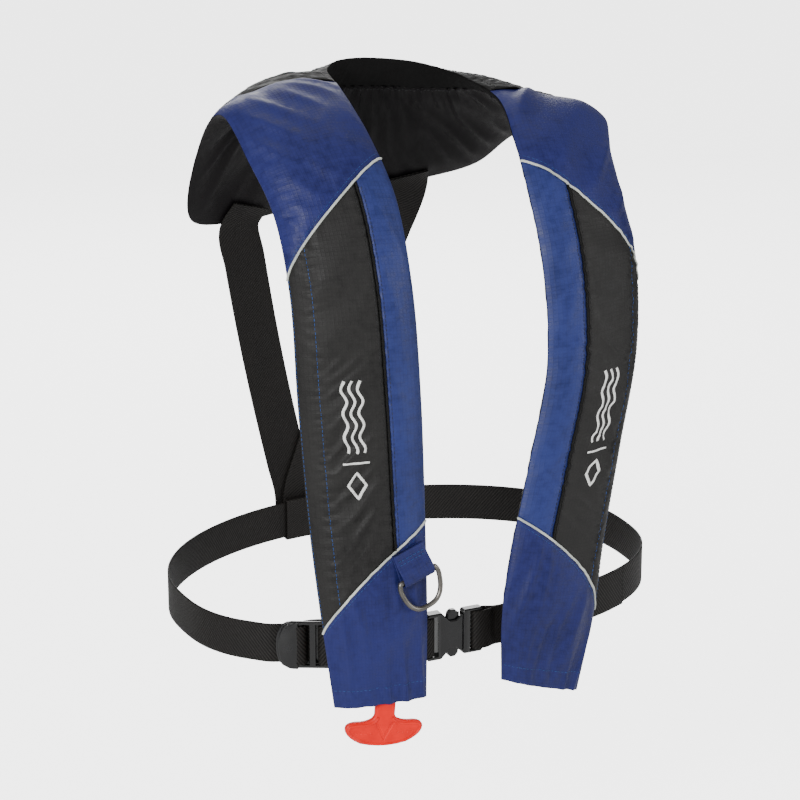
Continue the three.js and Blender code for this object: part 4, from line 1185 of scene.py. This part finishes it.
# %% Handle's raised rim
ROLL = 0.078
handle = Frame((-99, -HEM_DEPTH, -541), (1, -0.14, -ROLL), (ROLL, 0, 1))


def bezier(p0, p1, p2, steps=14):
    """Quadratic curve: each point is weighed by the squares and product of t and 1 - t."""
    t = np.linspace(0, 1, steps)[:, None]
    p0, p1, p2 = (np.asarray(p, float) for p in (p0, p1, p2))
    return (1 - t) ** 2 * p0 + 2 * t * (1 - t) * p1 + t * t * p2


grip = np.concatenate([
    bezier((-7.2, -16), (-8, -22.4), (-20, -23.4)), bezier((-20, -23.4), (-34.4, -22.4), (-34.4, -27)),
    bezier((-34.4, -27), (-34.4, -33), (-21, -39.6)), bezier((-21, -39.6), (0, -46), (21, -39.6)),
    bezier((21, -39.6), (34.4, -33), (34.4, -27)), bezier((34.4, -27), (34.4, -22.4), (20, -23.4)),
    bezier((20, -23.4), (8, -22.4), (7.2, -16))])
for label, out in (("front", 3.5), ("back", -3.5)):
    rim = even_line(handle.at(grip[:, 0], out + 0 * grip[:, 0], grip[:, 1]), 1.0)
    sweep("handle_rim_" + label, rim, handle.y, round_section(1.15, 10), red_plastic, body="handle",
          slot="red")

DOT = 0.8
dots = [(side * (13 + 4.6 * k), -31.2 - 0.9 * (3 - k) + 0.25 * (3 - k) ** 2)
        for side in (-1, 1) for k in range(4)]
q = np.linspace(0, np.pi / 2, 5)[:, None]
turn = np.arange(12)[None, :] * np.pi / 6
domes, dome_faces = [], []
for k, (x, z) in enumerate(dots):
    domes.append(handle.at(x + DOT * np.cos(q) * np.cos(turn), 3.3 + DOT * np.sin(q) + 0 * turn,
                           z + DOT * np.cos(q) * np.sin(turn)).reshape(-1, 3))
    dome_faces.append(grid_faces(5, 12, 60 * k, around=True))
build("handle_dots", np.concatenate(domes),
      [np.concatenate(dome_faces), 60 * np.arange(len(dots))[:, None] + np.arange(12)[None, ::-1]],
      red_plastic, body="handle", slot="red")
print("handle rim and dots made")

# %% [markdown]
# ## Inner pieces
# The inflator, its cylinder, the mouth tube and the whistle lie inside the lobes. They keep their
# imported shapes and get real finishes. The pull cord runs from the lever down to the handle.

# %% Finishes of the inner pieces
INNER = {
    "inflator_body": black_plastic, "gas_cylinder": bright_steel, "piercing_pin": bright_steel,
    "water_sensor_cap": pale_plastic, "firing_lever": black_plastic, "lever_pin": bright_steel,
    "status_indicator": green_plastic, "inflator_flange": rubber, "oral_tube": rubber,
    "oral_valve": black_plastic, "valve_poppet": red_plastic, "dust_cap": red_plastic,
    "whistle": red_plastic}
for node, finish in INNER.items():
    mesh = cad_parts[node].data
    mesh.materials.clear()
    mesh.materials.append(finish)

works = band_frame(165, 0, float(half_thick(165)))
LEVER_X, LEVER_Z, WORKS_OUT = -27, -60, 2.8
HANDLE_TOP = 30.95
cord_line = even_line([
    works.at(LEVER_X - 4.3, WORKS_OUT, LEVER_Z + 15), works.at(LEVER_X - 7, WORKS_OUT, LEVER_Z + 6),
    works.at(LEVER_X - 7.5, WORKS_OUT, LEVER_Z - 8), works.at(-20, 1, LEVER_Z - 28),
    handle.at(0, 0, HANDLE_TOP)], 1.5)
pull_cord = sweep("pull_cord", cord_line, works.y, round_section(1.4, 12), red_cord, body=None,
                  nodes=("pull_cord",), slot="red")
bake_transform(pull_cord)
tuple(buckle.at(50.0, 0.0) * MM)
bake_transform(strap_left)

mouth = band_frame(FULL - 200, 0, float(half_thick(200.0)))
whistle_line = [[6.6, WORKS_OUT, 30], [14, WORKS_OUT + 2, 24], [20, WORKS_OUT + 4, 8],
                [24.5, WORKS_OUT + 2, -4], [24.5, WORKS_OUT, -9.6]]
whistle_line = even_line([mouth.at(*p) for p in whistle_line], 1.2)
sweep("whistle_cord", whistle_line, mouth.y, round_section(1.0, 10), black_thread,
      nodes=("whistle_cord",), slot="webbing")
print("inner pieces finished")

# %% [markdown]
# ## Sewn ends
# Webbing is held by rows of strong stitches: a box with a cross in it where a strap ends, and two
# plain rows beside a loop. The yoke's outside has rows along both of its edges.


# %% Boxes and rows of stitches
def sewn(name, place, corners, out, finish=black_thread, **more):
    """Stitches along straight lines between corners [x, z] on a flat piece in a frame."""
    line = even_straight(np.asarray(corners, float))
    flat = place.at(line[:, 0], out + 0 * line[:, 0], line[:, 1])
    stitches(name, flat, flat - place.y * 3, finish, **more)


def even_straight(corners):
    """Points every half millimetre along straight lines."""
    run = np.concatenate([[0], np.cumsum(np.linalg.norm(np.diff(corners, axis=0), axis=1))])
    at = np.arange(0, run[-1], 0.5)
    return np.stack([np.interp(at, run, corners[:, k]) for k in range(2)], 1)


def box_and_cross(w, t):
    """A box of half width w and half height t, and its two diagonals, in one line."""
    return [[-w, -t], [w, -t], [w, t], [-w, t], [-w, -t], [w, t], [w, -t], [-w, t]]


grey_thread = thread_material("grey thread", (0.010, 0.010, 0.010), (0.035, 0.034, 0.033))
sewn("stitch_back_keeper", back, box_and_cross(16, 15), 2.65, grey_thread)
for side, inside in KEEPER_INSIDE.items():
    place = belt_frame(front_angle(KEEPER_X[side]))
    for x in (-7.5, 7.5):
        sewn(f"stitch_keeper_{side}_{x:+.0f}".replace("+", "p").replace("-", "m"), place,
             [[x, -17], [x, 17]], -(inside + 1.75), grey_thread)
sewn("stitch_tab", tab, [[-14.5, -4.5], [14.5, -4.5]], 5.35, blue_thread)
sewn("stitch_tab_low", tab, [[-14.5, -8], [14.5, -8]], 5.75, blue_thread)
length = np.linspace(RIDGE_R + SEAM_BACK + 3, RIDGE_L - SEAM_BACK - 3, 420)
for row, a in (("stitch_yoke_outer", -0.9), ("stitch_yoke_inner", 0.86)):
    stitched(row, length, np.full(length.shape, a), yoke_height, grey_thread)
a = np.linspace(-0.88, 0.84, 160)
for row, at in enumerate((RIDGE_R + YOKE_SEAM - 4, RIDGE_L - YOKE_SEAM + 4)):
    stitched(f"stitch_yoke_cross_{row}", np.full(a.shape, at), a, yoke_height, grey_thread)
print("sewn ends made")

# %% [markdown]
# ## Padded pieces
# The covers of the lobes and the yoke are soft pads, loosely filled by the folded bladder. Their swell and
# folds are the heights given above; this cell adds nothing to them.

# %% Padded pieces
for name in ("shoulder_panel_", "outer_panel_", "inner_panel_", "lower_panel_", "lobe_lining_"):
    for side in "RL":
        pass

# %% [markdown]
# ## Floor
# A plain pale floor, far enough below for the shadow to be soft. It glows for the camera only, so it
# looks like a white studio floor and throws no light up on the jacket.

# %% Floor
low = cad_box[0][2] - 0.30
FAR = 60.0
floor = build("floor", np.array([[-FAR, -FAR, low], [FAR, -FAR, low],
                                 [FAR, FAR, low], [-FAR, FAR, low]]) / MM,
              np.array([[0, 1, 2, 3]]), floor_finish, body=None)
tree = floor_finish.node_tree
seen = wire(tree, "ShaderNodeLightPath", out="Is Camera Ray")
shader = tree.nodes["Principled BSDF"].inputs
tree.links.new(blend_colour(tree, seen, (0, 0, 0), (1, 1, 1)), shader["Emission Color"])
shader["Emission Strength"].default_value = 3.2
print("floor at", round(low, 3))
